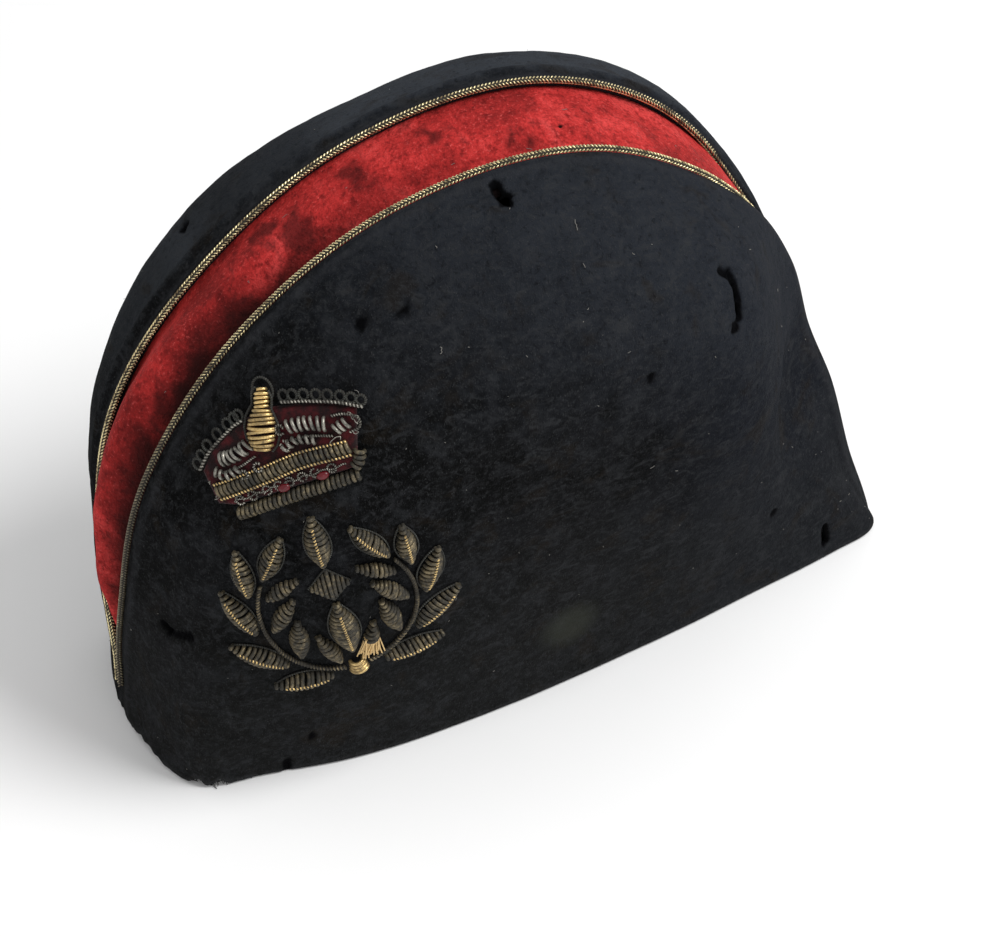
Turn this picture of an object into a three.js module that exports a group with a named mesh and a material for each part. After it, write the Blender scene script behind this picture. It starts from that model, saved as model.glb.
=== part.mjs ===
// A rounded garrison cap: two D-shaped cloth side panels, a velvet crown strip let in between their
// curved top edges, a gold braid sewn along each edge, and a padded wire badge near the front of the
// wearer's left side. Millimetres, +Z up. The hem lies on z = 0, the front of the cap faces -Y and
// the wearer's left is +X.
import * as THREE from "three";
import { TessellateModifier } from "three/addons/modifiers/TessellateModifier.js";
import { mergeVertices } from "three/addons/utils/BufferGeometryUtils.js";

// ---- Driving dimensions ----

const clothThickness = 2.0;
const velvetThickness = 1.4;
const clearance = 0.3; // between any two pieces that touch
const seamHalfGap = 0.2; // from the middle plane to each cloth layer of the back seam
const braidWidth = 2.4;
const tuckDepth = 8; // how far the crown strip runs down inside each panel
const lipDepth = 1.5; // how far below the panel's edge the strip turns across
const tuckClearance = 0.6; // between the strip and the panels it runs down inside
const ribPull = 0.45; // share of a rib's chord given to each of its two curve handles

// One row for each rib of the left panel, counted in degrees round the panel from the front corner
// of the hem (0) over the top (90) to the back corner (180).
//   reach: from the middle of the hem to the curved edge, in side view
//   gap: from the middle plane out to the curved edge
//   hem: from the middle plane out to the hem
//   tilt: how far the cloth leans in from upright where it meets the curved edge, in degrees
//   lean: how far the cloth leans out from upright where it leaves the hem, in degrees
//   swell: how much fuller the right panel stands than the left one
//   rise: how far the middle of the crown strip stands above the line between the two edges
//   sink: how deep the valley in the strip runs beside the left edge
const ribs = [
  { angle: 0, reach: 124, gap: 0.9, hem: 0.9, tilt: 72, lean: 2, swell: 0, rise: 0, sink: 0 },
  { angle: 10, reach: 126, gap: 2, hem: 18.5, tilt: 70, lean: 3, swell: 1, rise: 0, sink: 1 },
  { angle: 24, reach: 135.2, gap: 11, hem: 37, tilt: 66, lean: 4, swell: 3.5, rise: 8, sink: 5 },
  { angle: 42, reach: 154.2, gap: 17, hem: 40.5, tilt: 66, lean: 7, swell: 8, rise: 9, sink: 7 },
  { angle: 60, reach: 169.2, gap: 17, hem: 43.5, tilt: 70, lean: 7, swell: 10, rise: 5, sink: 6.5 },
  { angle: 78, reach: 181.2, gap: 17.5, hem: 40.5, tilt: 70, lean: 3, swell: 5.5, rise: 2, sink: 4 },
  { angle: 96, reach: 182.7, gap: 18, hem: 34, tilt: 72, lean: 5, swell: 5.5, rise: 1, sink: 2 },
  { angle: 112, reach: 166.7, gap: 17.5, hem: 27, tilt: 76, lean: 8, swell: 8, rise: 0.5, sink: 1 },
  { angle: 126, reach: 145.3, gap: 7, hem: 20.5, tilt: 60, lean: 8, swell: 11, rise: 0, sink: 0.5 },
  { angle: 138, reach: 128, gap: 2.2, hem: 16, tilt: 36, lean: 7, swell: 4, rise: 0, sink: 0 },
  { angle: 150, reach: 120, gap: 2.2, hem: 12, tilt: 32, lean: 6, swell: 2, rise: 0, sink: 0 },
  { angle: 164, reach: 115, gap: 2.2, hem: 8.5, tilt: 28, lean: 6, swell: 1, rise: 0, sink: 0 },
  { angle: 180, reach: 119, gap: 2.2, hem: 2.2, tilt: 25, lean: 6, swell: 0, rise: 0, sink: 0 },
];
const firstAngle = 0.6;
const lastAngle = 179.4;
const ribCount = 44;
const cornerCrowding = 0.53; // how much closer the ribs lie near both corners, 0 for evenly spread
const tuckShare = 0.22; // the most of a rib's height that the crown strip's tuck takes
const rowShares = [0, 0.14, 0.28, 0.41, 0.52, 0.62, 0.71, 0.79, 0.86, 0.93, 1]; // of the way up to the tuck

const valleyLean = 0.45; // moves the strip's valley towards the left edge
const crownStart = 8; // rib angles between which the crown strip is let in
const crownEnd = 130;
const braidStart = 5;
const braidEnd = 126;
const braidDive = 102; // from this rib angle on the braid sinks in between the two panels
const braidSteps = 60;

// ---- Driving dimensions of the badge ----

const badgeAngle = 56.07; // where the badge's middle lies on the left panel: rib angle and height
const badgeHeight = 0.634;
const facetLimit = 7; // longest facet edge of a piece that follows the curved cloth

// The badge is drawn flat in its own plane: x runs back along the cap and y up it.
const velvetPad = 1.6;
const bullionPad = 2.4; // height of the pieces sewn straight on the cloth
const wirePad = 1.8; // height of the pieces sewn on the badge's velvet

// The badge's crown, as outlines and middle lines of [x, y] points.
const crownVelvet = [
  [-26, 9.5],
  [-30, 10],
  [-27, 16.5],
  [-21, 23.5],
  [-14, 29.5],
  [-6, 32.5],
  [4, 34.5],
  [13, 34.5],
  [12, 24],
  [3, 20.7],
  [-7, 15.8],
  [-16, 10.5],
  [-26, 5.5],
];
const bandWidth = 4;
const crownBand = [
  [-25, 6],
  [-12, 13.7],
  [-2, 19.3],
  [10.5, 23.6],
];
const crownCirclet = [
  [-19.5, 1],
  [-10, 6],
  [0, 10.5],
  [13, 15.5],
];
const archWidth = 2.6;
const leftArch = [
  [-30, 10.5],
  [-27, 16.3],
  [-21.3, 23.2],
  [-18.3, 25.9],
];
const rightArch = [
  [-7, 33],
  [0, 34.5],
  [8, 35.3],
  [14.5, 34.8],
];
const finial = { x: -12.5, y: 20.5, turn: 90, length: 16, width: 9 };
const stones = { front: [-7, 10.9], back: [3.5, 15.4], halfLength: 1.9, halfWidth: 1 };

// The wreath under the crown has its own middle, and leans back at the foot by its turn in degrees.
const wreath = { x: 5, y: -29, turn: 10 };
const stemWidth = 2;
const stem = { halfWidth: 21.5, halfHeight: 26, drop: 2.5, start: 8, end: 120 };

// One row for each leaf of a branch, from foot to tip, for the branch on the +x side.
//   x, y: the leaf's root
//   turn: the direction it points in, in degrees from +x
//   length, width: its size
const leaves = [
  { name: "outer_1", x: 7, y: -29.8, turn: 2, length: 17, width: 6.6 },
  { name: "inner_1", x: 4, y: -24.8, turn: 73, length: 13, width: 5 },
  { name: "outer_2", x: 17.8, y: -21.3, turn: 36, length: 18, width: 6.8 },
  { name: "inner_2", x: 13.8, y: -18.9, turn: 98, length: 14.5, width: 5.8 },
  { name: "outer_3", x: 23.5, y: -6.8, turn: 66, length: 17, width: 6.6 },
  { name: "inner_3", x: 18.9, y: -6.4, turn: 128, length: 13, width: 5.4 },
  { name: "outer_4", x: 22.6, y: 7, turn: 88, length: 15, width: 5.8 },
  { name: "inner_4", x: 17.9, y: 5.8, turn: 152, length: 11, width: 4.8 },
  { name: "tip", x: 17.7, y: 12.6, turn: 122, length: 15.5, width: 6 },
];
const lowerPalm = { x: 0, y: -21.5, turn: 90, length: 21, width: 8 };
const upperPalm = { x: 0, y: 14.5, turn: 90, length: 17, width: 6.8 };
const lozenge = { middle: 7, halfWidth: 5.6, halfHeight: 6 };
const tie = { foot: -31, top: -26.2, footHalf: 3, topHalf: 2.3 };

// ---- The side panels' shape ----

// A column of the table at any angle: a cubic through the rows, with a slope at each inner row that
// weights its two neighbours by their distance.
function column(name, angle) {
  const last = ribs.length - 1;
  const slopeBetween = (i) => (ribs[i + 1][name] - ribs[i][name]) / (ribs[i + 1].angle - ribs[i].angle);
  const slopeAt = (i) => {
    if (i === 0) return slopeBetween(0);
    if (i === last) return slopeBetween(last - 1);
    const before = ribs[i].angle - ribs[i - 1].angle;
    const after = ribs[i + 1].angle - ribs[i].angle;
    return (slopeBetween(i - 1) * after + slopeBetween(i) * before) / (before + after);
  };
  let i = 0;
  while (i < last - 1 && angle >= ribs[i + 1].angle) i += 1;
  const width = ribs[i + 1].angle - ribs[i].angle;
  const t = (angle - ribs[i].angle) / width;
  return (
    (1 + 2 * t) * (1 - t) ** 2 * ribs[i][name] +
    t * (1 - t) ** 2 * width * slopeAt(i) +
    t * t * (3 - 2 * t) * ribs[i + 1][name] +
    t * t * (t - 1) * width * slopeAt(i + 1)
  );
}

const radians = THREE.MathUtils.degToRad;
const frontReach = ribs[0].reach;
const backReach = ribs.at(-1).reach;

function edgePoint(angle) {
  const reach = column("reach", angle);
  const turn = radians(angle);
  return new THREE.Vector3(column("gap", angle), -reach * Math.cos(turn), reach * Math.sin(turn));
}

function hemPoint(angle) {
  const reach = angle < 90 ? frontReach : backReach;
  return new THREE.Vector3(column("hem", angle), -reach * Math.cos(radians(angle)), 0);
}

// The direction straight out from the curved edge in side view.
function edgeOutward(angle) {
  const step = 0.05;
  const along = edgePoint(Math.min(angle + step, 180)).sub(edgePoint(Math.max(angle - step, 0)));
  return new THREE.Vector3(0, -along.z, along.y).normalize();
}

// The direction straight out from the hem in plan.
function hemOutward(angle) {
  const step = 0.05;
  const along = hemPoint(Math.min(angle + step, 180)).sub(hemPoint(Math.max(angle - step, 0)));
  return new THREE.Vector3(along.y, -along.x, 0).normalize();
}

// The direction in which the cloth crosses the curved edge, leaning in by the row's tilt.
function edgeDirection(angle) {
  const tilt = radians(column("tilt", angle));
  return edgeOutward(angle).multiplyScalar(Math.cos(tilt)).add(new THREE.Vector3(-Math.sin(tilt), 0, 0));
}

// A point on the left panel's outer face: height 0 is the hem and 1 the curved edge.
function plainSidePoint(angle, height) {
  const foot = hemPoint(angle);
  const top = edgePoint(angle);
  const pull = ribPull * foot.distanceTo(top);
  const lean = radians(column("lean", angle));
  const up = hemOutward(angle).multiplyScalar(Math.sin(lean)).add(new THREE.Vector3(0, 0, Math.cos(lean)));
  const lowHandle = foot.clone().addScaledVector(up, pull);
  const highHandle = top.clone().addScaledVector(edgeDirection(angle), -pull);
  return new THREE.CubicBezierCurve3(foot, lowHandle, highHandle, top).getPoint(height);
}

function normalOf(surface, angle, height) {
  const step = 0.004;
  const turn = 0.3;
  const high = Math.min(height + step, 1);
  const low = Math.max(height - step, 0);
  const up = surface(angle, high).sub(surface(angle, low));
  const round = surface(Math.min(angle + turn, lastAngle), height).sub(
    surface(Math.max(angle - turn, firstAngle), height),
  );
  return round.cross(up).normalize();
}

// The right panel is the left one mirrored, with the row's swell added round its shoulder.
function fullerSidePoint(angle, height) {
  const shoulder = Math.sin(Math.PI * height ** 3.2) ** 1.3;
  const swell = column("swell", angle) * shoulder;
  return plainSidePoint(angle, height).addScaledVector(normalOf(plainSidePoint, angle, height), swell);
}

// ---- Making solids ----

// A closed solid through a row of rings. Each ring lists one face's points and then the opposite
// face's points in the reverse order, so that both ends close as strips.
function loft(rings) {
  const around = rings[0].length;
  const position = rings.flat().flatMap((point) => [point.x, point.y, point.z]);
  const index = [];
  const quad = (a, b, c, d) => index.push(a, b, c, a, c, d);
  for (let i = 0; i < rings.length - 1; i += 1) {
    for (let j = 0; j < around; j += 1) {
      const next = (j + 1) % around;
      quad(i * around + j, i * around + next, (i + 1) * around + next, (i + 1) * around + j);
    }
  }
  const end = (rings.length - 1) * around;
  for (let j = 0; j < around / 2 - 1; j += 1) {
    const opposite = around - 1 - j;
    quad(j, opposite, opposite - 1, j + 1);
    quad(end + j, end + j + 1, end + opposite - 1, end + opposite);
  }
  const geometry = new THREE.BufferGeometry();
  geometry.setAttribute("position", new THREE.Float32BufferAttribute(position, 3));
  geometry.setIndex(index);
  return facingOut(geometry);
}

// The same closed geometry with its faces turned to point out.
function facingOut(geometry) {
  const place = geometry.attributes.position;
  const index = geometry.index.array;
  const [a, b, c] = [new THREE.Vector3(), new THREE.Vector3(), new THREE.Vector3()];
  let volume = 0;
  for (let i = 0; i < index.length; i += 3) {
    a.fromBufferAttribute(place, index[i]);
    b.fromBufferAttribute(place, index[i + 1]);
    c.fromBufferAttribute(place, index[i + 2]);
    volume += a.dot(b.cross(c));
  }
  if (volume < 0) {
    for (let i = 0; i < index.length; i += 3) [index[i + 1], index[i + 2]] = [index[i + 2], index[i + 1]];
  }
  geometry.computeVertexNormals();
  return geometry;
}

// Evenly spread values from one number to another, both included.
function spread(from, to, steps) {
  return Array.from({ length: steps + 1 }, (_, i) => from + ((to - from) * i) / steps);
}

// Rib angles lie closer together near both corners, where the ribs are short.
const ribAngles = spread(0, 1, ribCount).map((share) => {
  const crowded = (1 - Math.cos(Math.PI * share)) / 2;
  return firstAngle + (lastAngle - firstAngle) * THREE.MathUtils.lerp(share, crowded, cornerCrowding);
});

// The height on a rib that lies so far back from the curved edge. Short ribs have less room for it.
function heightBelowEdge(angle, distance) {
  const chord = hemPoint(angle).distanceTo(edgePoint(angle));
  const most = (tuckShare * distance) / tuckDepth;
  return 1 - Math.min(distance / (3 * ribPull * chord), most);
}

function sidePanel(surface) {
  const rings = ribAngles.map((angle) => {
    const outer = [];
    const inner = [];
    const tuckHeight = heightBelowEdge(angle, tuckDepth);
    const heights = [...rowShares.map((share) => share * tuckHeight), heightBelowEdge(angle, lipDepth), 1];
    for (const height of heights) {
      const point = surface(angle, height);
      const inside = point.clone().addScaledVector(normalOf(surface, angle, height), -clothThickness);
      inside.x = Math.max(inside.x, seamHalfGap);
      inside.z = height === 0 ? 0 : Math.max(inside.z, 0.02);
      outer.push(point);
      inner.push(inside);
    }
    return [...outer, ...inner.reverse()];
  });
  return loft(rings);
}

// ---- The crown strip and the braids ----

// The frame in which the cloth meets the curved edge: its place, the way across the edge, and the
// way out of the cloth.
function edgeFrame(surface, angle) {
  const place = surface(angle, 1);
  return { place, across: edgeDirection(angle), out: normalOf(surface, angle, 1) };
}

// A point under one panel, in the middle of the crown strip's thickness, so far back from the edge.
function underPanel(surface, angle, distance) {
  const height = heightBelowEdge(angle, distance);
  const depth = clothThickness + tuckClearance + velvetThickness / 2;
  return surface(angle, height).addScaledVector(normalOf(surface, angle, height), -depth);
}

const mirrored = (point) => new THREE.Vector3(-point.x, point.y, point.z);

// The strip's middle line from its tuck under the left panel to its tuck under the right one.
function crownLine(angle) {
  const lipLeft = underPanel(plainSidePoint, angle, lipDepth);
  const lipRight = mirrored(underPanel(fullerSidePoint, angle, lipDepth));
  const up = edgeOutward(angle).multiplyScalar(column("rise", angle));
  const down = edgeOutward(angle).multiplyScalar(-column("sink", angle));
  const across = spread(0, 1, 10).map((share) =>
    lipLeft
      .clone()
      .lerp(lipRight, share)
      .addScaledVector(up, Math.sin(Math.PI * share) ** 2)
      .addScaledVector(down, Math.sin(Math.PI * share ** valleyLean) ** 4),
  );
  return [
    underPanel(plainSidePoint, angle, tuckDepth),
    ...across,
    mirrored(underPanel(fullerSidePoint, angle, tuckDepth)),
  ];
}

function crownStrip() {
  const crownAngles = ribAngles.filter((angle) => angle > crownStart && angle < crownEnd);
  const rings = crownAngles.map((angle) => {
    const line = crownLine(angle);
    const along = edgePoint(angle + 0.2).sub(edgePoint(angle - 0.2)).setX(0).normalize();
    const face = (side) =>
      line.map((point, i) => {
        const before = line[Math.max(i - 1, 0)];
        const after = line[Math.min(i + 1, line.length - 1)];
        const out = along.clone().cross(after.clone().sub(before)).normalize();
        return point.clone().addScaledVector(out, (side * velvetThickness) / 2);
      });
    return [...face(-1), ...face(1).reverse()];
  });
  return loft(rings);
}

// A round cord along the outer corner of one panel's edge, clear of the cloth. Towards the back it
// sinks from the corner to the edge's inner half.
function braid(surface) {
  const reach = braidWidth / 2 + clearance;
  const stand = reach * Math.SQRT1_2;
  const path = spread(braidStart, braidEnd, 48).map((angle) => {
    const { place, across, out } = edgeFrame(surface, angle);
    const sunk = THREE.MathUtils.smoothstep(angle, braidDive, braidEnd);
    const overEdge = THREE.MathUtils.lerp(stand, reach, sunk);
    const overFace = THREE.MathUtils.lerp(stand, -clothThickness / 4, sunk);
    const centre = place.addScaledVector(across, overEdge).addScaledVector(out, overFace);
    centre.x = Math.max(centre.x, braidWidth / 2 + clearance / 2);
    return centre;
  });
  const section = new THREE.Shape().absarc(0, 0, braidWidth / 2, 0, 2 * Math.PI);
  return new THREE.ExtrudeGeometry(section, {
    steps: braidSteps,
    curveSegments: 4,
    bevelEnabled: false,
    extrudePath: new THREE.CatmullRomCurve3(path),
  });
}

// ---- The badge ----

// The badge's own frame on the cloth: its middle, the way out of the cloth, up it, and back along it.
const badgeFrame = (() => {
  const middle = plainSidePoint(badgeAngle, badgeHeight);
  const out = normalOf(plainSidePoint, badgeAngle, badgeHeight);
  const up = new THREE.Vector3(0, 0, 1).addScaledVector(out, -out.z).normalize();
  return { middle, out, up, back: up.clone().cross(out) };
})();

// Lays a point of the badge's flat drawing on the curved panel, at a height over the cloth. The rib
// angle and height under it are found by Newton's method.
function onPanel(x, y, over) {
  const { middle, up, back } = badgeFrame;
  const flat = (angle, height) => {
    const from = plainSidePoint(angle, height).sub(middle);
    return [from.dot(back), from.dot(up)];
  };
  let [angle, height] = [badgeAngle, badgeHeight];
  for (let i = 0; i < 8; i += 1) {
    const [a, b] = flat(angle, height);
    const [aTurn, bTurn] = flat(angle + 0.1, height).map((v, k) => (v - [a, b][k]) / 0.1);
    const [aUp, bUp] = flat(angle, height + 0.002).map((v, k) => (v - [a, b][k]) / 0.002);
    const size = aTurn * bUp - bTurn * aUp;
    angle += ((x - a) * bUp - (y - b) * aUp) / size;
    height += ((y - b) * aTurn - (x - a) * bTurn) / size;
  }
  return plainSidePoint(angle, height).addScaledVector(normalOf(plainSidePoint, angle, height), over);
}

// A padded shape sewn on the panel: a flat outline raised to a rounded pad, laid on the cloth.
function pad(shape, floor, height) {
  const softness = height * 0.35;
  const flat = new THREE.ExtrudeGeometry(shape, {
    depth: height - 2 * softness,
    curveSegments: 5,
    bevelSegments: 1,
    bevelSize: softness,
    bevelThickness: softness,
    bevelOffset: -softness,
  });
  flat.deleteAttribute("normal");
  flat.deleteAttribute("uv");
  const laid = mergeVertices(new TessellateModifier(facetLimit, 8).modify(flat), 1e-3);
  const place = laid.attributes.position;
  for (let i = 0; i < place.count; i += 1) {
    const point = onPanel(place.getX(i), place.getY(i), floor + softness + place.getZ(i));
    place.setXYZ(i, point.x, point.y, point.z);
  }
  return facingOut(laid);
}

// Turns a point of the wreath's drawing into the badge's drawing.
function fromWreath(x, y) {
  const point = new THREE.Vector2(x, y).rotateAround(new THREE.Vector2(), radians(wreath.turn));
  return new THREE.Vector2(point.x + wreath.x, point.y + wreath.y);
}

const fromBadge = (x, y) => new THREE.Vector2(x, y);

function outline(points, from) {
  return new THREE.Shape(points.map(([x, y]) => from(x, y)));
}

// A pointed oval from its root along its turn. A side of -1 mirrors it to the -x side.
function leafShape({ x, y, turn, length, width }, from, side = 1) {
  const along = new THREE.Vector2(1, 0).rotateAround(new THREE.Vector2(), radians(turn));
  const at = (share, off) =>
    from(
      side * (x + share * length * along.x - off * along.y),
      y + share * length * along.y + off * along.x,
    );
  const bulge = width * 0.68; // a cubic reaches about three quarters of the way to its handles
  const curve = (sign) =>
    new THREE.CubicBezierCurve(at(0, 0), at(0.25, sign * bulge), at(0.65, sign * bulge), at(1, 0));
  const there = curve(1).getPoints(6);
  const back = curve(-1).getPoints(6).reverse();
  return new THREE.Shape([...there, ...back.slice(1, -1)]);
}

// A band of even width along a line of points.
function bandShape(points, width, from) {
  const curve = new THREE.SplineCurve(points.map(([x, y]) => from(x, y)));
  const side = (sign) =>
    spread(0, 1, 10).map((share) => {
      const along = curve.getTangent(share);
      return curve.getPoint(share).addScaledVector(new THREE.Vector2(-along.y, along.x), (sign * width) / 2);
    });
  return new THREE.Shape([...side(1), ...side(-1).reverse()]);
}

function ellipse([x, y], halfLength, halfWidth, turn) {
  const curve = new THREE.EllipseCurve(x, y, halfLength, halfWidth, 0, 2 * Math.PI, false, turn);
  return new THREE.Shape(curve.getPoints(10).slice(0, -1));
}

// ---- Materials ----

const navyCloth = new THREE.MeshStandardMaterial({ color: 0x17181c, roughness: 0.95, metalness: 0 });
const scarletVelvet = new THREE.MeshStandardMaterial({ color: 0xa01c22, roughness: 0.85, metalness: 0 });
const crimsonVelvet = new THREE.MeshStandardMaterial({ color: 0x5a141e, roughness: 0.85, metalness: 0 });
const goldBraid = new THREE.MeshStandardMaterial({ color: 0x7a683c, roughness: 0.45, metalness: 0.8 });
const bullionWire = new THREE.MeshStandardMaterial({ color: 0x5c5544, roughness: 0.4, metalness: 0.85 });
const brightWire = new THREE.MeshStandardMaterial({ color: 0xa88a48, roughness: 0.35, metalness: 0.85 });

// ---- The cap, put together ----

// The shapes above are drawn from the middle of the hem. The cap's origin is the middle of its
// bounding box on the floor.
const cap = new THREE.Group();
const pieces = new THREE.Group();
cap.add(pieces);

function add(name, geometry, material) {
  const mesh = new THREE.Mesh(geometry, material);
  mesh.name = name;
  pieces.add(mesh);
}

function addMirrored(name, geometry, material) {
  add(name, facingOut(mergeVertices(geometry.scale(-1, 1, 1))), material);
}

add("side_left", sidePanel(plainSidePoint), navyCloth);
addMirrored("side_right", sidePanel(fullerSidePoint), navyCloth);
add("crown_strip", crownStrip(), scarletVelvet);
add("braid_left", braid(plainSidePoint), goldBraid);
const rightBraid = braid(fullerSidePoint);
rightBraid.deleteAttribute("normal");
rightBraid.deleteAttribute("uv");
addMirrored("braid_right", rightBraid, goldBraid);

const wireFloor = clearance + velvetPad + clearance; // over the badge's velvet
const [bandFrom, bandTo] = [crownCirclet[1], crownCirclet[2]];
const bandTurn = Math.atan2(bandTo[1] - bandFrom[1], bandTo[0] - bandFrom[0]);

add("badge_velvet", pad(outline(crownVelvet, fromBadge), clearance, velvetPad), crimsonVelvet);
add("badge_band", pad(bandShape(crownBand, bandWidth, fromBadge), wireFloor, wirePad), bullionWire);
add("badge_circlet", pad(bandShape(crownCirclet, bandWidth, fromBadge), clearance, bullionPad), bullionWire);
add("badge_arch_left", pad(bandShape(leftArch, archWidth, fromBadge), wireFloor, wirePad), bullionWire);
add("badge_arch_right", pad(bandShape(rightArch, archWidth, fromBadge), wireFloor, wirePad), bullionWire);
add("badge_finial", pad(leafShape(finial, fromBadge), wireFloor, bullionPad), brightWire);
for (const word of ["front", "back"]) {
  const shape = ellipse(stones[word], stones.halfLength, stones.halfWidth, bandTurn);
  add(`badge_stone_${word}`, pad(shape, clearance, velvetPad), crimsonVelvet);
}

for (const [word, side] of [["front", -1], ["back", 1]]) {
  const line = spread(stem.start, stem.end, 6).map((angle) => [
    side * stem.halfWidth * Math.sin(radians(angle)),
    -stem.drop - stem.halfHeight * Math.cos(radians(angle)),
  ]);
  add(`badge_stem_${word}`, pad(bandShape(line, stemWidth, fromWreath), clearance, velvetPad), bullionWire);
  for (const leaf of leaves) {
    const shape = leafShape(leaf, fromWreath, side);
    add(`badge_leaf_${word}_${leaf.name}`, pad(shape, clearance, bullionPad), bullionWire);
  }
}

const lozengeCorners = [
  [0, lozenge.middle - lozenge.halfHeight],
  [lozenge.halfWidth, lozenge.middle],
  [0, lozenge.middle + lozenge.halfHeight],
  [-lozenge.halfWidth, lozenge.middle],
];
const tieCorners = [
  [-tie.footHalf, tie.foot],
  [tie.footHalf, tie.foot],
  [tie.topHalf, tie.top],
  [-tie.topHalf, tie.top],
];
add("badge_palm_lower", pad(leafShape(lowerPalm, fromWreath), clearance, bullionPad), bullionWire);
add("badge_palm_upper", pad(leafShape(upperPalm, fromWreath), clearance, bullionPad), bullionWire);
add("badge_lozenge", pad(outline(lozengeCorners, fromWreath), clearance, bullionPad), bullionWire);
add("badge_tie", pad(outline(tieCorners, fromWreath), clearance, bullionPad), bullionWire);

const box = new THREE.Box3().setFromObject(pieces);
const middle = box.getCenter(new THREE.Vector3());
pieces.position.set(-middle.x, -middle.y, -box.min.z);

export default cap;
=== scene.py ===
import math

import bpy
import numpy as np
from mathutils import Matrix, Vector


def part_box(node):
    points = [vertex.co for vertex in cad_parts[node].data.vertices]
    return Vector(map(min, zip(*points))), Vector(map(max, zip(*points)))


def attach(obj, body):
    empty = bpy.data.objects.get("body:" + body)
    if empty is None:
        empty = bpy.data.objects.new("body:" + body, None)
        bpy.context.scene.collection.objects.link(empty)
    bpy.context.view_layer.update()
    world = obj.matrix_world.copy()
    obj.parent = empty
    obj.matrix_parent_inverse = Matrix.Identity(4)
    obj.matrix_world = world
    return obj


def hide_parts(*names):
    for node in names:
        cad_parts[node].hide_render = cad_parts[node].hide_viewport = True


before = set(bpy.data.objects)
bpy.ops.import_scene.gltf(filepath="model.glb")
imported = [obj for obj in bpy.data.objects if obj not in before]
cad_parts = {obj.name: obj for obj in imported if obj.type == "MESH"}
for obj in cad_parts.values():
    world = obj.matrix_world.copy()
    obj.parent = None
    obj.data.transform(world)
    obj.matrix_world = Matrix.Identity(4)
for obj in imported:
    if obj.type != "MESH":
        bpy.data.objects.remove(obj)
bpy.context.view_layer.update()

# ---- The two side panels ----
# Each side of the cap is one panel of thick navy melton, a wool milled until its weave is gone. It
# stands up from the hem and curls in to a folded edge. Moths have eaten holes in it, rubbing has
# greyed its folds, and the hem has frayed away at the front.

mm = 0.001
cloth_thickness = 2.0  # these sizes and the table of ribs are in millimetres
rib_pull = 0.45
seam_half_gap = 0.2

# A rib of the panel at each angle round the side view, from the front corner to the back corner:
# how far out its edge lies and how far from the cap's middle, where its hem stands, how the cloth
# leans at both ends, how far the right panel swells past the left one, and how the crown strip
# rises in its middle and sinks beside the left edge.
ribs = {
    "angle": (0, 10, 24, 42, 60, 78, 96, 112, 126, 138, 150, 164, 180),
    "reach": (124, 126, 135.2, 154.2, 169.2, 181.2, 182.7, 166.7, 145.3, 128, 120, 115, 119),
    "gap": (0.9, 2, 11, 17, 17, 17.5, 18, 17.5, 7, 2.2, 2.2, 2.2, 2.2),
    "hem": (0.9, 18.5, 37, 40.5, 43.5, 40.5, 34, 27, 20.5, 16, 12, 8.5, 2.2),
    "tilt": (72, 70, 66, 66, 70, 70, 72, 76, 60, 36, 32, 28, 25),
    "lean": (2, 3, 4, 7, 7, 3, 5, 8, 8, 7, 6, 6, 6),
    "swell": (0, 1, 3.5, 8, 10, 5.5, 5.5, 8, 11, 4, 2, 1, 0),
    "rise": (0, 0, 8, 9, 5, 2, 1, 0.5, 0, 0, 0, 0, 0),
    "sink": (0, 1, 5, 7, 6.5, 4, 2, 1, 0.5, 0, 0, 0, 0),
}
ribs = {name: np.array(values, float) for name, values in ribs.items()}
first_angle, last_angle = 0.6, 179.4


def column(name, angle):
    """A column of the table at any angle: a cubic through its rows."""
    at, values = ribs["angle"], ribs[name]
    width = np.diff(at)
    slope = np.diff(values) / width
    inner = (slope[:-1] * width[1:] + slope[1:] * width[:-1]) / (width[:-1] + width[1:])
    slopes = np.concatenate([slope[:1], inner, slope[-1:]])
    i = np.clip(np.searchsorted(at, angle, side="right") - 1, 0, len(at) - 2)
    t = (angle - at[i]) / width[i]
    ends = (1 + 2 * t) * (1 - t) ** 2 * values[i] + t * t * (3 - 2 * t) * values[i + 1]
    return ends + width[i] * (t * (1 - t) ** 2 * slopes[i] + t * t * (t - 1) * slopes[i + 1])


def unit(vectors):
    return vectors / np.maximum(np.linalg.norm(vectors, axis=-1, keepdims=True), 1e-12)


def way_along(line, at, step=0.05, first=0, last=180):
    """Which way a line runs at a place on it, from two of its points on either side."""
    return line(np.minimum(at + step, last)) - line(np.maximum(at - step, first))


def edge_point(angle):
    turn, reach = np.radians(angle), column("reach", angle)
    return np.stack([column("gap", angle), -reach * np.cos(turn), reach * np.sin(turn)], -1)


def hem_point(angle):
    reach = np.where(angle < 90, ribs["reach"][0], ribs["reach"][-1])
    return np.stack([column("hem", angle), -reach * np.cos(np.radians(angle)), 0 * angle], -1)


def edge_outward(angle):
    along = way_along(edge_point, angle)
    return unit(np.stack([0 * angle, -along[..., 2], along[..., 1]], -1))


def edge_direction(angle):
    tilt = np.radians(column("tilt", angle))[..., None]
    return np.cos(tilt) * edge_outward(angle) - np.sin(tilt) * np.array([1.0, 0, 0])


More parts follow.
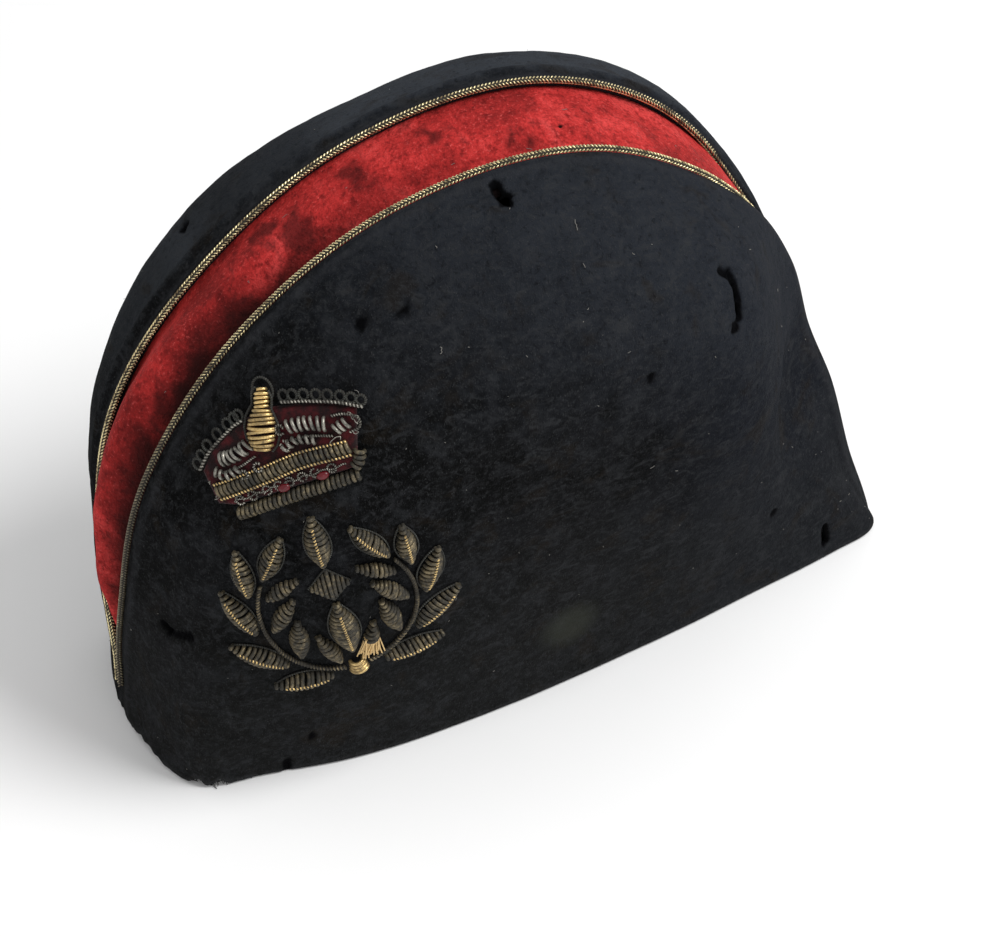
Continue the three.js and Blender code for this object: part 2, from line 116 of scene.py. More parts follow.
def plain_side(angle, height):
    """The left panel's outer face: height 0 is the hem and 1 the curved edge."""
    angle, height = np.broadcast_arrays(np.asarray(angle, float), np.asarray(height, float))
    foot, top = hem_point(angle), edge_point(angle)
    pull = rib_pull * np.linalg.norm(top - foot, axis=-1)[..., None]
    along = way_along(hem_point, angle)
    outward = unit(np.stack([along[..., 1], -along[..., 0], 0 * angle], -1))
    lean = np.radians(column("lean", angle))[..., None]
    up = np.sin(lean) * outward + np.cos(lean) * np.array([0, 0, 1.0])
    t = height[..., None]
    low, high = foot + pull * up, top - pull * edge_direction(angle)
    return (1 - t) ** 3 * foot + 3 * (1 - t) ** 2 * t * low + 3 * (1 - t) * t * t * high + t**3 * top


def normal_of(surface, angle, height):
    up = way_along(lambda at: surface(angle, at), height, 0.004, 0, 1)
    along = way_along(lambda at: surface(at, height), angle, 0.3, first_angle, last_angle)
    return unit(np.cross(along, up))


def fuller_side(angle, height):
    """The right panel before it is mirrored: it swells round its shoulder."""
    angle, height = np.broadcast_arrays(np.asarray(angle, float), np.asarray(height, float))
    shoulder = np.abs(np.sin(np.pi * height**3.2)) ** 1.3  # most about four fifths of the way up
    swell = (column("swell", angle) * shoulder)[..., None]
    return plain_side(angle, height) + normal_of(plain_side, angle, height) * swell


def height_below_edge(angle, distance, most=0.22, span=8.0):
    """The height on a rib that lies so far back from the edge. Short ribs have less room for it."""
    chord = np.linalg.norm(hem_point(angle) - edge_point(angle), axis=-1)
    return 1 - np.minimum(distance / (3 * rib_pull * chord), most * distance / span)


def swells(points, length, seed):
    """Soft unevenness of about one wavelength, mostly from -1 to 1: sixteen waves that cross."""
    chance = np.random.default_rng(seed)
    pace = chance.uniform(0.7, 1.4, (16, 1)) * 2 * np.pi / length
    ways = unit(chance.normal(size=(16, 3))) * pace
    return np.sin(points @ ways.T + chance.uniform(0, 2 * np.pi, 16)).sum(-1) / 4.5


def bump_at(distance, middle, half_width):
    return np.exp(-(((distance - middle) / half_width) ** 2))


# The drawing's middle is the middle of the hem. The frame's box gives where that lies in the frame.
left_low, left_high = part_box("side_left")
look = plain_side(np.linspace(first_angle, last_angle, 600)[:, None], np.linspace(0, 1, 60)[None, :])
middle_y = (look[..., 1].min() + look[..., 1].max()) / 2
shift_x = left_low.x / mm - seam_half_gap
shift_y = (left_low.y + left_high.y) / 2 / mm - middle_y
drawing_shift = np.array([shift_x, shift_y, 0])


def into_frame(points):
    return (np.asarray(points) + drawing_shift) * mm


def nearest_on(points, route):
    """The nearest place of a broken line to each point, and how far along it lies, from 0 to 1."""
    best, share = np.full(points.shape[:-1], 1e9), np.zeros(points.shape[:-1])
    place = np.zeros_like(points)
    for i, (a, b) in enumerate(zip(route[:-1], route[1:])):
        run = b - a
        t = np.clip(((points - a) @ run) / max(run @ run, 1e-9), 0, 1)
        spot = a + t[..., None] * run
        far = np.linalg.norm(points - spot, axis=-1)
        nearer = far < best
        best, share = np.where(nearer, far, best), np.where(nearer, (i + t) / (len(route) - 1), share)
        place = np.where(nearer[..., None], spot, place)
    return best, place, share


def put_in_scene(name, data):
    thing = bpy.data.objects.new(name, data)
    bpy.context.scene.collection.objects.link(thing)
    return thing


def write_facts(mesh, facts):
    """Stores the named numbers and vectors at the mesh's vertices."""
    for fact, values in dict(facts).items():
        kind, field = ("FLOAT", "value") if values.ndim == 1 else ("FLOAT_VECTOR", "vector")
        layer = mesh.attributes.new(fact, kind, "POINT")
        layer.data.foreach_set(field, values.astype(np.float32).ravel())


def make_mesh(name, vertices, faces, facts=()):
    """An object at the origin, with smooth faces and the named facts at its vertices."""
    mesh = bpy.data.meshes.new(name)
    mesh.from_pydata(vertices.reshape(-1, 3).tolist(), [], faces.tolist())
    write_facts(mesh, facts)
    mesh.validate()
    mesh.shade_smooth()
    return put_in_scene(name, mesh)


def wall(outer, inner, keep, facts, mirror=False):
    """The points, faces and facts of a closed wall between two grids. keep says which cells it has."""
    count = outer.shape[0] * outer.shape[1]
    number = np.arange(count).reshape(outer.shape[:2])
    cells = np.stack([number[:-1, :-1], number[1:, :-1], number[1:, 1:], number[:-1, 1:]], -1)[keep]
    edges = np.stack([cells, np.roll(cells, -1, 1)], -1).reshape(-1, 2)
    code = np.sort(edges, 1) @ np.array([count, 1])
    _, first, times = np.unique(code, return_index=True, return_counts=True)
    a, b = edges[first[times == 1]].T
    rim = np.stack([b, a, a + count, b + count], 1)
    faces = np.concatenate([cells, cells[:, ::-1] + count, rim])
    points = np.concatenate([outer.reshape(-1, 3), inner.reshape(-1, 3)])
    used = np.unique(faces)
    place = np.zeros(2 * count, int)
    place[used] = np.arange(len(used))
    points, faces = points[used], place[faces]
    if mirror:
        points, faces = points * [-1, 1, 1], faces[:, ::-1]
    facts = {word: np.broadcast_to(v, (2, *outer.shape[:2])).ravel()[used] for word, v in facts.items()}
    return into_frame(points), faces, facts


def run_along(points, axis):
    """How far each point of a grid lies along its row, from the row's start."""
    steps = np.linalg.norm(np.diff(points, axis=axis), axis=-1)
    start = np.zeros_like(steps.take([0], axis))
    return np.concatenate([start, np.cumsum(steps, axis)], axis)


def from_ends(points, axis):
    """How far each point of a grid lies from the nearer end of its row."""
    return np.minimum(run_along(points, axis), np.flip(run_along(np.flip(points, axis), axis), axis))


def eased(share):
    """A share kept between 0 and 1, that starts and ends gently."""
    share = np.clip(share, 0, 1)
    return share * share * (3 - 2 * share)


def rounded(distance, reach):
    """The share of full thickness so far from a cut edge, for an edge that is rounded over."""
    return np.sqrt(1 - (1 - np.clip(distance / reach, 0, 1)) ** 2)


# A panel's grid: its numbers of ribs and of rows, how far back from the curved edge and from the hem
# its first rows lie, closest at the fold, and how much closer its ribs stand toward the corners.
rib_count, row_count, crowding = 251, 78, 0.53
edge_rows = 16.4 * np.linspace(0, 1, 21) ** 1.5
hem_rows = 4.5 * np.linspace(0, 1, 8) ** 1.6
# The cloth: the length and height of its swells, how the moths have bitten it beside a hole, how far
# its cut edges are rounded, and how the seams draw the two panels together: by how much, how near
# the edge, and over which rib angles.
swell_sizes = ((52, 0.34), (17, 0.13), (5, 0.06))
bite_depth, bite_reach, bite_raggedness = 0.9, 1.0, 0.28
rim_rounding = 0.7
seam_pull, seam_reach, seam_clearance = 1.2, 2.5, 0.04
back_seam, back_seam_fade, front_seam, front_seam_fade = 128, 10, 8, 4
badge_angle, badge_height = 56.07, 0.634  # where the badge's middle lies on the left panel
badge_ground, badge_reach = plain_side(56.5, 0.56), 50  # the cloth stays smooth under the badge


def side_panel(name, surface, mirror, damage, fine, fraying, fold):
    """One panel. damage and fine are tables, and fraying and fold say what is worn off or folded."""
    share = np.linspace(0, 1, rib_count)
    crowded = (1 - np.cos(np.pi * share)) / 2
    angles = first_angle + (last_angle - first_angle) * (share + crowding * (crowded - share))
    shares = np.linspace(0, 1, row_count)
    for start, end, low, high in fine:  # closer lines where the moths have been
        angles = np.concatenate([angles, np.arange(start, end, 0.2)])
        shares = np.concatenate([shares, np.arange(low, high, 0.005)])
    angle = np.unique(angles.round(3))[:, None]
    shares = np.unique(shares.round(4))[1:-1]
    top = height_below_edge(angle, edge_rows, 0.4, edge_rows[-1])
    low = 1 - height_below_edge(angle, hem_rows, 0.15, hem_rows[-1])
    middle = low[:, -1:] + shares * (top[:, -1:] - low[:, -1:])
    foot = 1 - height_below_edge(angle, fraying(angle), 0.5, 6.0)
    height = foot + (1 - foot) * np.concatenate([low, middle, top[:, ::-1]], 1)
    angle = np.broadcast_to(angle, height.shape)

    face, out = surface(angle, height), normal_of(surface, angle, height)
    below, above = run_along(face[:, ::-1], 1)[:, ::-1], run_along(face, 1)
    ends = from_ends(face, 0)
    seed = 7 if mirror else 3
    lift = sum(size * swells(face, length, seed + i) for i, (length, size) in enumerate(swell_sizes))
    lift *= np.clip(below / 12, 0, 1) * np.clip(above / 8, 0.2, 1)
    if not mirror:
        from_badge = np.linalg.norm(face - badge_ground, axis=-1) - badge_reach
        lift *= np.clip(from_badge / 14, 0.1, 1)
    lift += fold(below) * np.clip(ends / 10, 0, 1)

    hurt, inside, rim = 0 * below, below < 0, np.minimum(np.minimum(below, above), ends)
    moved = face
    for through, route, widths in damage:
        route = surface(*np.array(route, float).T)
        gap, place, along = nearest_on(face, route)
        half = np.interp(along, np.linspace(0, 1, len(widths)), widths)
        half = half * (1 + bite_raggedness * swells(face, 2.6, seed + 5))
        near = bump_at(np.clip(gap - half, 0, None), 0, bite_reach)
        hurt = np.maximum(hurt, near)
        lift = lift - bite_depth * near
        if through:  # the cells across the hole's outline are drawn onto it
            within = gap < half
            inside |= within
            onto = place + unit(face - place) * half[..., None]
            moved = np.where(within[..., None], onto, moved)
            rim = np.minimum(rim, np.abs(gap - half))
    rim = np.where(inside, 0, rim)
    keep = ~(inside[:-1, :-1] & inside[1:, :-1] & inside[1:, 1:] & inside[:-1, 1:])
    for _ in range(2):  # two cells that touch only at a corner get a third beside them
        a, b, c, d = keep[:-1, :-1], keep[1:, :-1], keep[:-1, 1:], keep[1:, 1:]
        keep[1:, :-1] |= a & d & ~b & ~c
        keep[:-1, :-1] |= b & c & ~a & ~d

    half_thick = cloth_thickness / 2 * np.maximum(rounded(rim, rim_rounding), 0.1)[..., None]
    centre = moved + out * (lift - cloth_thickness / 2)[..., None]
    seam = np.clip((angle - back_seam) / back_seam_fade, 0, 1)
    seam += np.clip((front_seam - angle) / front_seam_fade, 0, 1)
    centre[..., 0] -= seam_pull * seam * bump_at(below, 0, seam_reach)
    outer, inner = centre + out * half_thick, centre - out * half_thick
    outer[..., 0] = np.maximum(outer[..., 0], seam_clearance + 0.1)
    inner[..., 0] = np.maximum(inner[..., 0], seam_clearance)
    outer[..., 2], inner[..., 2] = np.maximum(outer[..., 2], 0), np.maximum(inner[..., 2], 0)
    facts = {"below": below, "above": above, "hurt": hurt}
    return make_mesh(name, *wall(outer, inner, keep, facts, mirror))


# Each damage: does it go through, its middle line as (angle, height) points, its half widths.
left_damage = [
    (True, [(86.2, 0.977), (86.3, 0.966), (86.6, 0.955)], (0.9, 1.0, 1.35)),
    (True, [(107.1, 0.824), (108.2, 0.82), (108.8, 0.807), (109.4, 0.774), (109.6, 0.737)],
     (0.4, 0.8, 0.55, 0.6, 0.6)),
    (True, [(145.2, 0.15), (145.3, 0.075)], (0.5, 0.9)),
    (False, [(109, 0.716), (109, 0.712)], (0.7, 0.7)),
    (False, [(98.4, 0.609), (98.4, 0.607)], (0.7, 0.7)),
    (False, [(70, 0.89), (70, 0.887)], (0.9, 0.9)),
    (False, [(73.7, 0.867), (74.6, 0.866)], (0.5, 0.4)),
    (False, [(129.6, 0.246), (129.6, 0.242)], (0.6, 0.6)),
    (True, [(26.7, 0.774), (26.7, 0.745)], (0.7, 1.2)),
    (False, [(26.7, 0.745), (28.3, 0.69), (30.5, 0.638)], (0.6, 0.3, 0.8)),
    (False, [(50.5, 0.09), (50.5, 0.085)], (0.4, 0.4)),
    (False, [(45.9, 0.03), (45.9, 0.01)], (0.5, 0.5)),
]
# Where the grid is finer for a hole: from and to which angle, and between which heights.
left_fine = [(85.4, 87.5, 1, 1), (106, 110.6, 0.74, 0.87), (144.6, 146, 1, 1)]
right_damage = [(True, [(59.8, 0.9), (60.3, 0.893)], (0.9, 0.7))]
right_fine = [(58.8, 61.2, 1, 1)]


def left_fraying(angle):
    """How much of the hem has worn away, in millimetres."""
    ragged = 0.5 + 0.5 * swells(hem_point(angle), 3.4, 21)
    torn = 3.6 * bump_at(angle, 24.3, 1.4) + 2.2 * bump_at(angle, 30.5, 1.8) + 3.2 * bump_at(angle, 9, 5)
    return np.clip(torn * (0.6 + 0.6 * ragged) + 0.35 * ragged * bump_at(angle, 24, 14), 0, 6)


def right_fraying(angle):
    return 0.4 * np.clip(swells(hem_point(angle), 5, 22), 0, 1)


# Both panels are folded over at the edge. The braid's stitches pull a groove beside the fold, and on
# the right panel the end of the turned-in cloth shows as a second, softer ridge.
def left_fold(below):
    return 0.4 * bump_at(below, 3.4, 1.8) - 0.4 * bump_at(below, 0.6, 1.3)


def right_fold(below):
    ridge = 0.7 * bump_at(below, 8.2, 1.3)
    return ridge - 0.5 * bump_at(below, 4.6, 1.8) - 0.5 * bump_at(below, 0.6, 1.3)


side_left = side_panel(
    "cloth_left", plain_side, False, left_damage, left_fine, left_fraying, left_fold)
side_right = side_panel(
    "cloth_right", fuller_side, True, right_damage, right_fine, right_fraying, right_fold)


class Sum:
    """A socket that takes part in sums: each operator adds the Math node that it stands for."""

    def __init__(self, net, socket):
        self.net, self.socket = net, socket

    def with_math(self, operation, *values):
        return self.net.node("ShaderNodeMath", {"operation": operation}, dict(enumerate(values)))()

    def __add__(self, other):
        return self.with_math("ADD", self, other)

    def __sub__(self, other):
        return self.with_math("SUBTRACT", self, other)

    def __rsub__(self, other):
        return self.with_math("SUBTRACT", other, self)

    def __mul__(self, other):
        return self.with_math("MULTIPLY", self, other)

    def ramp(self, start, end):
        """0 below start, 1 past end and smooth between. It falls where start is the larger."""
        settings = {"interpolation_type": "SMOOTHSTEP", "clamp": True}
        return self.net.node("ShaderNodeMapRange", settings, {0: self, 1: start, 2: end})()

    __radd__, __rmul__ = __add__, __mul__


class Net:
    """A node tree in the making."""

    def __init__(self, tree):
        self.tree = tree
        tree.nodes.clear()

    def node(self, kind, settings=None, sockets=None):
        """Adds a node. Its settings come first, then the values and links of its sockets."""
        node = self.tree.nodes.new(kind)
        for name, value in (settings or {}).items():
            setattr(node, name, value)
        for name, value in (sockets or {}).items():
            socket = node.inputs[name]
            for one in value if isinstance(value, list) else [value]:
                if isinstance(one, Sum):
                    self.tree.links.new(one.socket, socket)
                else:
                    socket.default_value = one
        return lambda output=0: Sum(self, node.outputs[output])

    def noise(self, place, scale, detail=2.0, roughness=0.5, distortion=0.0):
        sockets = {"Vector": place, "Scale": scale, "Detail": detail, "Roughness": roughness}
        return self.node("ShaderNodeTexNoise", {}, sockets | {"Distortion": distortion})()

    def mix(self, share, a, b):
        """A colour that goes from a to b."""
        settings = {"data_type": "RGBA", "clamp_factor": True}
        a, b = (one if isinstance(one, Sum) else (*one, 1) for one in (a, b))
        return self.node("ShaderNodeMix", settings, {0: share, 6: a, 7: b})(2)

    def layered(self, ground, layers):
        """A ground colour under named layers, each laid over the last with a share and a colour."""
        for share, colour in layers.values():
            ground = self.mix(share, ground, colour)
        return ground

    def vector(self, operation, sockets, output=0):
        return self.node("ShaderNodeVectorMath", {"operation": operation}, sockets)(output)

    def stretched(self, place, scale):
        """The place with each axis scaled, for a pattern that is longer one way."""
        return self.node("ShaderNodeMapping", {}, {"Vector": place, "Scale": scale})()

    def fact(self, name):
        """A number that the mesh holds at each vertex."""
        return self.node("ShaderNodeAttribute", {"attribute_name": name})("Fac")


def material(name, shared, paint):
    """A material whose Principled shader has the shared values, and the links that paint returns."""
    made = bpy.data.materials.new(name)
    made.use_nodes = True
    net = Net(made.node_tree)
    place = net.node("ShaderNodeTexCoord")("Object")
    links = paint(net, place)
    height = links.pop("height", None)
    if height is not None:
        sockets = {"Height": height[0], "Distance": height[1], "Strength": height[2]}
        links["Normal"] = net.node("ShaderNodeBump", {}, sockets)()
    shader = net.node("ShaderNodeBsdfPrincipled", {}, shared | links)
    net.node("ShaderNodeOutputMaterial", {}, {"Surface": shader()})
    return made


def paint_melton(net, place):
    across, back, up = (net.node("ShaderNodeSeparateXYZ", {}, {0: place})(axis) for axis in range(3))
    fibres = net.noise(net.stretched(place, (1, 1, 0.45)), 2600, 3, 0.65)
    felt = net.noise(place, 620, 3, 0.6, 0.4)
    brushed = net.noise(net.stretched(place, (1, 0.55, 0.9)), 300, 4, 0.65, 1.4)
    dust = net.noise(place, 110, 4, 0.7, 0.4)
    patches = net.noise(place, 46, 3, 0.55, 0.5)
    rusts = net.noise(net.stretched(place, (1.3, 0.9, 1)), 75, 3, 0.6, 0.6)
    below, above = net.fact("below"), net.fact("above")
    uneven = dust - 0.5
    # Painted light and sheen: the cloth is lighter and bluer toward the back.
    lit_toward_back = back.ramp(0.0, 0.09) + (patches - 0.5) * 0.6
    # Painted light: the cloth is lighter low down.
    lit_foot = up.ramp(0.105, 0.02) + uneven * 0.6
    # Painted light: the upper cloth is lighter, most toward the back, as if lit from above.
    lit_top = (up + back * 0.35).ramp(0.10, 0.185) + uneven * 1.2
    right = across.ramp(-0.001, -0.005)
    # Painted light: the right panel's upper face past the ridge is lighter, less so round one spot.
    from_dim_spot = net.vector("DISTANCE", {0: net.stretched(place, (0, 1, 1)), 1: dim_spot_at}, "Value")
    dim_spot = (from_dim_spot + uneven * 0.02).ramp(0.031, 0.012)
    lit_past_ridge = right * (below + uneven * 10).ramp(6.0, 10.5) * up.ramp(0.07, 0.17)
    lit_past_ridge = lit_past_ridge * (1 - dim_spot * 0.65) * (patches * 0.9 + 0.55)
    # Painted shade: the right panel is darker in the groove beside its braid.
    shade_by_braid = right * (below + uneven * 6).ramp(8.5, 5.5)
    rubbed = below.ramp(1.6, 3.0) * below.ramp(6.0, 3.4) * (felt * 0.7 + patches * 0.3)
    hem = above.ramp(3.0, 0.3) * felt.ramp(0.3, 0.6)
    from_stain = net.vector("DISTANCE", {0: place, 1: stain_at}, "Value")
    stain = (from_stain + (felt - 0.5) * 0.004).ramp(0.0125, 0.0035)
    cloth = net.layered((0.0024, 0.0025, 0.0024), {
        "faded patches": (patches.ramp(0.36, 0.64), (0.0064, 0.0066, 0.0070)),
        "painted light toward the back": (lit_toward_back * 0.75, (0.0078, 0.0102, 0.0162)),
        "painted light at the foot": (lit_foot * 0.5, (0.0150, 0.0155, 0.0150)),
        "painted light on top": (lit_top * 0.75, (0.0220, 0.0255, 0.0325)),
        "painted light past the ridge": (lit_past_ridge * 0.55, (0.0560, 0.0640, 0.0760)),
        "painted shade by the braid": (shade_by_braid * 0.45, (0.0040, 0.0042, 0.0046)),
        "rusty wool": (rusts.ramp(0.54, 0.70) * 0.45, (0.0155, 0.0118, 0.0080)),
        "dust": (dust.ramp(0.50, 0.72) * 0.45, (0.0230, 0.0240, 0.0255)),
        "raised nap": (brushed.ramp(0.50, 0.72) * 0.50, (0.0300, 0.0315, 0.0340)),
        "flat nap": (brushed.ramp(0.48, 0.28) * 0.30, (0.0026, 0.0027, 0.0029)),
        "felted hairs": (felt.ramp(0.50, 0.70) * 0.40, (0.0280, 0.0290, 0.0310)),
        "shade between them": (felt.ramp(0.46, 0.26) * 0.50, (0.0018, 0.0019, 0.0021)),
        "single fibres": (fibres.ramp(0.57, 0.74) * 0.6, (0.0520, 0.0540, 0.0560)),
        "rubbed fold": (rubbed * 0.55, (0.0320, 0.0330, 0.0370)),
        "rubbed hem": (hem * 0.55, (0.0400, 0.0400, 0.0420)),
        "bitten wool": (net.fact("hurt").ramp(0.15, 0.75) * 0.95, (0.0010, 0.0010, 0.0013)),
        "stain": (stain * 0.5, (0.0420, 0.0450, 0.0350)),
    })
    nap = fibres * 0.45 + felt * 0.40 + brushed * 0.45
    return {"Base Color": cloth, "Roughness": felt * 0.12 + 0.86, "height": (nap, 0.0010, 1.0)}


# The middle of the stain on the left panel, and of the spot on the right one where the painted light past
# the ridge is weakest.
stain_at = tuple(into_frame(plain_side(91.4, 0.107)))
dim_spot_at = tuple(into_frame(fuller_side(68, 0.94)) * [0, 1, 1])
melton_finish = {
    "Specular IOR Level": 0.03,
    "Sheen Weight": 0.01,
    "Sheen Roughness": 0.5,
    "Sheen Tint": (0.45, 0.48, 0.56, 1),
}
melton = material("navy_melton", melton_finish, paint_melton)


def finish(piece, made, nodes=()):
    """Gives a piece its material and the body that it rides on, and hides its CAD nodes."""
    if made is not None:
        piece.data.materials.clear()
        piece.data.materials.append(made)
    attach(piece, "root")
    if nodes:
        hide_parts(*nodes)
    return piece


for panel, node in ((side_left, "side_left"), (side_right, "side_right")):
    finish(panel, melton, [node])

# ---- The crown strip ----
# A strip of scarlet silk velvet is let in between the two panels, tucked under their edges and sewn.
# It puffs forward at the front and narrows to nothing at the back. Handling has crushed its pile.

velvet_thickness = 1.4
tuck_depth, lip_depth, tuck_clearance = 8.0, 1.5, 0.6
crown_start, crown_end, tongue = 8.0, 130.0, 7.0  # rib angles
valley_lean = 0.45
middle_clearance = 0.45  # between either half of the tongue and the cap's middle plane
crease_height, pinhole_angle, pinhole_depth = 0.5, 94.8, 0.9


def under_panel(surface, angle, distance):
    height = height_below_edge(angle, distance)
    depth = cloth_thickness + tuck_clearance + velvet_thickness / 2
    return surface(angle, height) - normal_of(surface, angle, height) * depth


# Toward the back it narrows to a tongue that closes the seam between the panels.
strip_angle = np.linspace(crown_start + 0.5, crown_end + tongue, 450)
closing = eased((strip_angle - crown_end + 6) / 12)[:, None]
tuck = tuck_depth + (lip_depth + 1 - tuck_depth) * closing[:, 0]
lips, tucks = [], []
for surface, turned in ((plain_side, 1), (fuller_side, -1)):
    for kept, depth in ((lips, lip_depth), (tucks, tuck)):
        line = under_panel(surface, strip_angle, depth)
        line[..., 0] = turned * np.maximum(line[..., 0], middle_clearance)
        kept.append(line[:, None])
lip_left, lip_right = lips
tuck_left, tuck_right = tucks
across = np.linspace(0, 1, 45)[None, :, None]
rise, sink = column("rise", strip_angle)[:, None, None], column("sink", strip_angle)[:, None, None]
bulge = rise * np.sin(np.pi * across) ** 2 - sink * np.sin(np.pi * across**valley_lean) ** 4
open_part = lip_left + (lip_right - lip_left) * across + edge_outward(strip_angle)[:, None] * bulge
in_tuck = np.linspace(0, 1, 6)[None, :, None]
strip_line = np.concatenate(
    [tuck_left + (lip_left - tuck_left) * in_tuck[:, :-1], open_part,
     lip_right + (tuck_right - lip_right) * in_tuck[:, 1:]], 1)
for _ in range(3):  # eases the corner where the strip goes into its tuck
    strip_line[:, 1:-1] = (strip_line[:, :-2] + 2 * strip_line[:, 1:-1] + strip_line[:, 2:]) / 4
along_strip = np.gradient(strip_line, axis=0)
strip_out = unit(np.cross(along_strip, np.gradient(strip_line, axis=1)))
strip_out *= np.sign((strip_out * edge_outward(strip_angle)[:, None]).sum(-1, keepdims=True).mean())
strip_share = np.concatenate([np.zeros((1, 5)), across[..., 0], np.ones((1, 5))], 1)
middle_part = np.sin(np.pi * np.clip(strip_share, 0, 1)) ** 0.6
creases = swells(strip_line * [0.55, 1, 1], 15, 31) * bump_at(strip_angle, 100, 15)[:, None]
strip_lift = 0.34 * swells(strip_line, 26, 32) + 0.10 * swells(strip_line, 8, 33)
strip_lift = (strip_lift + crease_height * creases) * middle_part
pinhole_row = np.abs(strip_angle - pinhole_angle).argmin()
pinhole = np.linalg.norm(strip_line - strip_line[pinhole_row, 24], axis=-1)
strip_lift -= pinhole_depth * bump_at(pinhole, 0, 0.8)
strip_rim = np.minimum(from_ends(strip_line, 0), from_ends(strip_line, 1))
half_thick = velvet_thickness / 2 * np.maximum(rounded(strip_rim, rim_rounding), 0.06)
half_thick *= 1 - 0.75 * closing
strip_face = strip_line + strip_out * (strip_lift + half_thick)[..., None]
strip_back = strip_line + strip_out * (strip_lift - half_thick)[..., None]
whole = np.ones((strip_line.shape[0] - 1, strip_line.shape[1] - 1), bool)
# Where the pile is crushed dark: rib angle, share of the way across, reach in millimetres.
crushed_spots = [(76, 0.62, 5), (69.5, 0.45, 6), (83.5, 0.7, 4), (66, 0.75, 4), (60, 0.3, 7)]
crushed_spots += [(49, 0.3, 7), (91, 0.35, 4)]
crushed = 0 * strip_share + 0 * strip_angle[:, None]
for at, over, reach in crushed_spots:
    spot = strip_line[np.abs(strip_angle - at).argmin(), 5 + round(44 * over)]
    far = strip_line - spot + 1.6 * swells(strip_line, 7, 34)[..., None]
    crushed = np.maximum(crushed, bump_at(np.linalg.norm(far * [0.55, 1, 1], axis=-1), 0, reach))
strip_facts = {
    "crushed": crushed,
    "across": strip_share,
    "angle": strip_angle[:, None],
    "under": np.array([0.0, 1.0])[:, None, None],
    "pinhole": bump_at(pinhole, 0, 1.1),
}
crown_strip = make_mesh("velvet_crown", *wall(strip_face, strip_back, whole, strip_facts))


def paint_velvet(net, place):
    rows = net.noise(net.stretched(place, (1, 0.35, 0.35)), 2300, 2, 0.6)
    grain = net.noise(place, 1100, 3, 0.7)
    tufts = net.noise(place, 420, 3, 0.65)
    brushed = net.noise(net.stretched(place, (0.6, 1, 1)), 150, 3, 0.6, 0.8)
    lay = net.noise(place, 52, 3, 0.55, 0.7)
    wide = net.noise(place, 22, 2, 0.5, 0.3)
    light = lay * 0.5 + wide * 0.3 + brushed * 0.25 + tufts * 0.12
    crushed = (net.fact("crushed") + (brushed - 0.5) * 2.2 + (lay - 0.5) * 1.2).ramp(0.15, 1.05)
    over, angle = net.fact("across"), net.fact("angle")
    # Painted shade: the velvet is darker in the valley by the left panel's edge toward the front, where
    # that panel shades it.
    valley_shade = (over + (lay - 0.5) * 0.3).ramp(0.57, 0.27) * angle.ramp(92, 58) * angle.ramp(6, 16)
    pile = net.layered((0.225, 0.0135, 0.0130), {
        "lit pile": (light.ramp(0.44, 0.70), (0.560, 0.0340, 0.0320)),
        "brushed up": (light.ramp(0.60, 0.76) * 0.65, (0.80, 0.090, 0.085)),
        "between tufts": (tufts.ramp(0.52, 0.28) * 0.6, (0.110, 0.0055, 0.0060)),
        "dark grain": (grain.ramp(0.52, 0.34) * 0.45, (0.120, 0.0060, 0.0065)),
        "bright grain": (grain.ramp(0.56, 0.74) * 0.6, (0.82, 0.130, 0.120)),
        "crushed": (crushed * 0.8, (0.042, 0.0046, 0.0048)),
        "valley_shade": (valley_shade * 0.93, (0.014, 0.0040, 0.0036)),
        # Painted shade: the velvet is near black where it tucks under the left panel.
        "painted shade where tucked in": (over.ramp(0.09, 0.0), (0.0040, 0.0016, 0.0016)),
        "pinhole": (net.fact("pinhole").ramp(0.3, 0.8), (0.004, 0.001, 0.001)),
        "underside": (net.fact("under") * 0.92, (0.016, 0.0040, 0.0036)),
    })
    nap = rows * 0.3 + grain * 0.35 + tufts * 0.4 + brushed * 0.35
    return {"Base Color": pile, "Roughness": grain * 0.2 + 0.72, "height": (nap, 0.0014, 1.0)}


velvet_finish = {
    "Specular IOR Level": 0.08,
    "Sheen Weight": 0.06,
    "Sheen Roughness": 0.35,
    "Sheen Tint": (1.0, 0.16, 0.14, 1),
}
scarlet_velvet = material("scarlet_velvet", velvet_finish, paint_velvet)
finish(crown_strip, scarlet_velvet, ["crown_strip"])

# ---- The braids ----
# A round plait of gilt thread, 2.4 mm thick, is sewn along the fold of each panel. Its strands cross
# as a herringbone. The gilding has tarnished, most of all along the front of the left one.

braid_width = 2.4
braid_start, braid_end = 6.0, 123.0  # rib angles
braid_past, braid_in = 0.78, 0.25  # where its middle lies, past the fold and under the cloth's face
# Toward the back it sinks in between the cloth and the strip: from which angle on, over how many
# degrees, and how far back and in.
dive_start, dive_length, dive_back, dive_in = 107.0, 15.0, 1.6, 2.3


def growth(name, sizes):
    """A Geometry Nodes tree with a named input for each size."""
    tree = bpy.data.node_groups.new(name, "GeometryNodeTree")
    tree.interface.new_socket("Path", in_out="INPUT", socket_type="NodeSocketGeometry")
    for size, kind in sizes.items():
        tree.interface.new_socket(size, in_out="INPUT", socket_type="NodeSocket" + kind)
    tree.interface.new_socket("Mesh", in_out="OUTPUT", socket_type="NodeSocketGeometry")
    net = Net(tree)
    group = net.node("NodeGroupInput")
    return tree, net, {size: group(size) for size in ["Path", *sizes]}


def close_growth(net, groups):
    """The end of each tree: the shapes of each group made real, smooth, and given its material."""
    painted = []
    for shapes, made in groups:
        joined = net.node("GeometryNodeJoinGeometry", {}, {"Geometry": shapes})()
        real = net.node("GeometryNodeRealizeInstances", {}, {0: joined})()
        tidy = net.node("GeometryNodeSetShadeSmooth", {}, {"Geometry": real})()
        painted.append(net.node("GeometryNodeSetMaterial", {}, {"Geometry": tidy, "Material": made})())
    net.node("NodeGroupOutput", {}, {0: net.node("GeometryNodeJoinGeometry", {}, {"Geometry": painted})()})


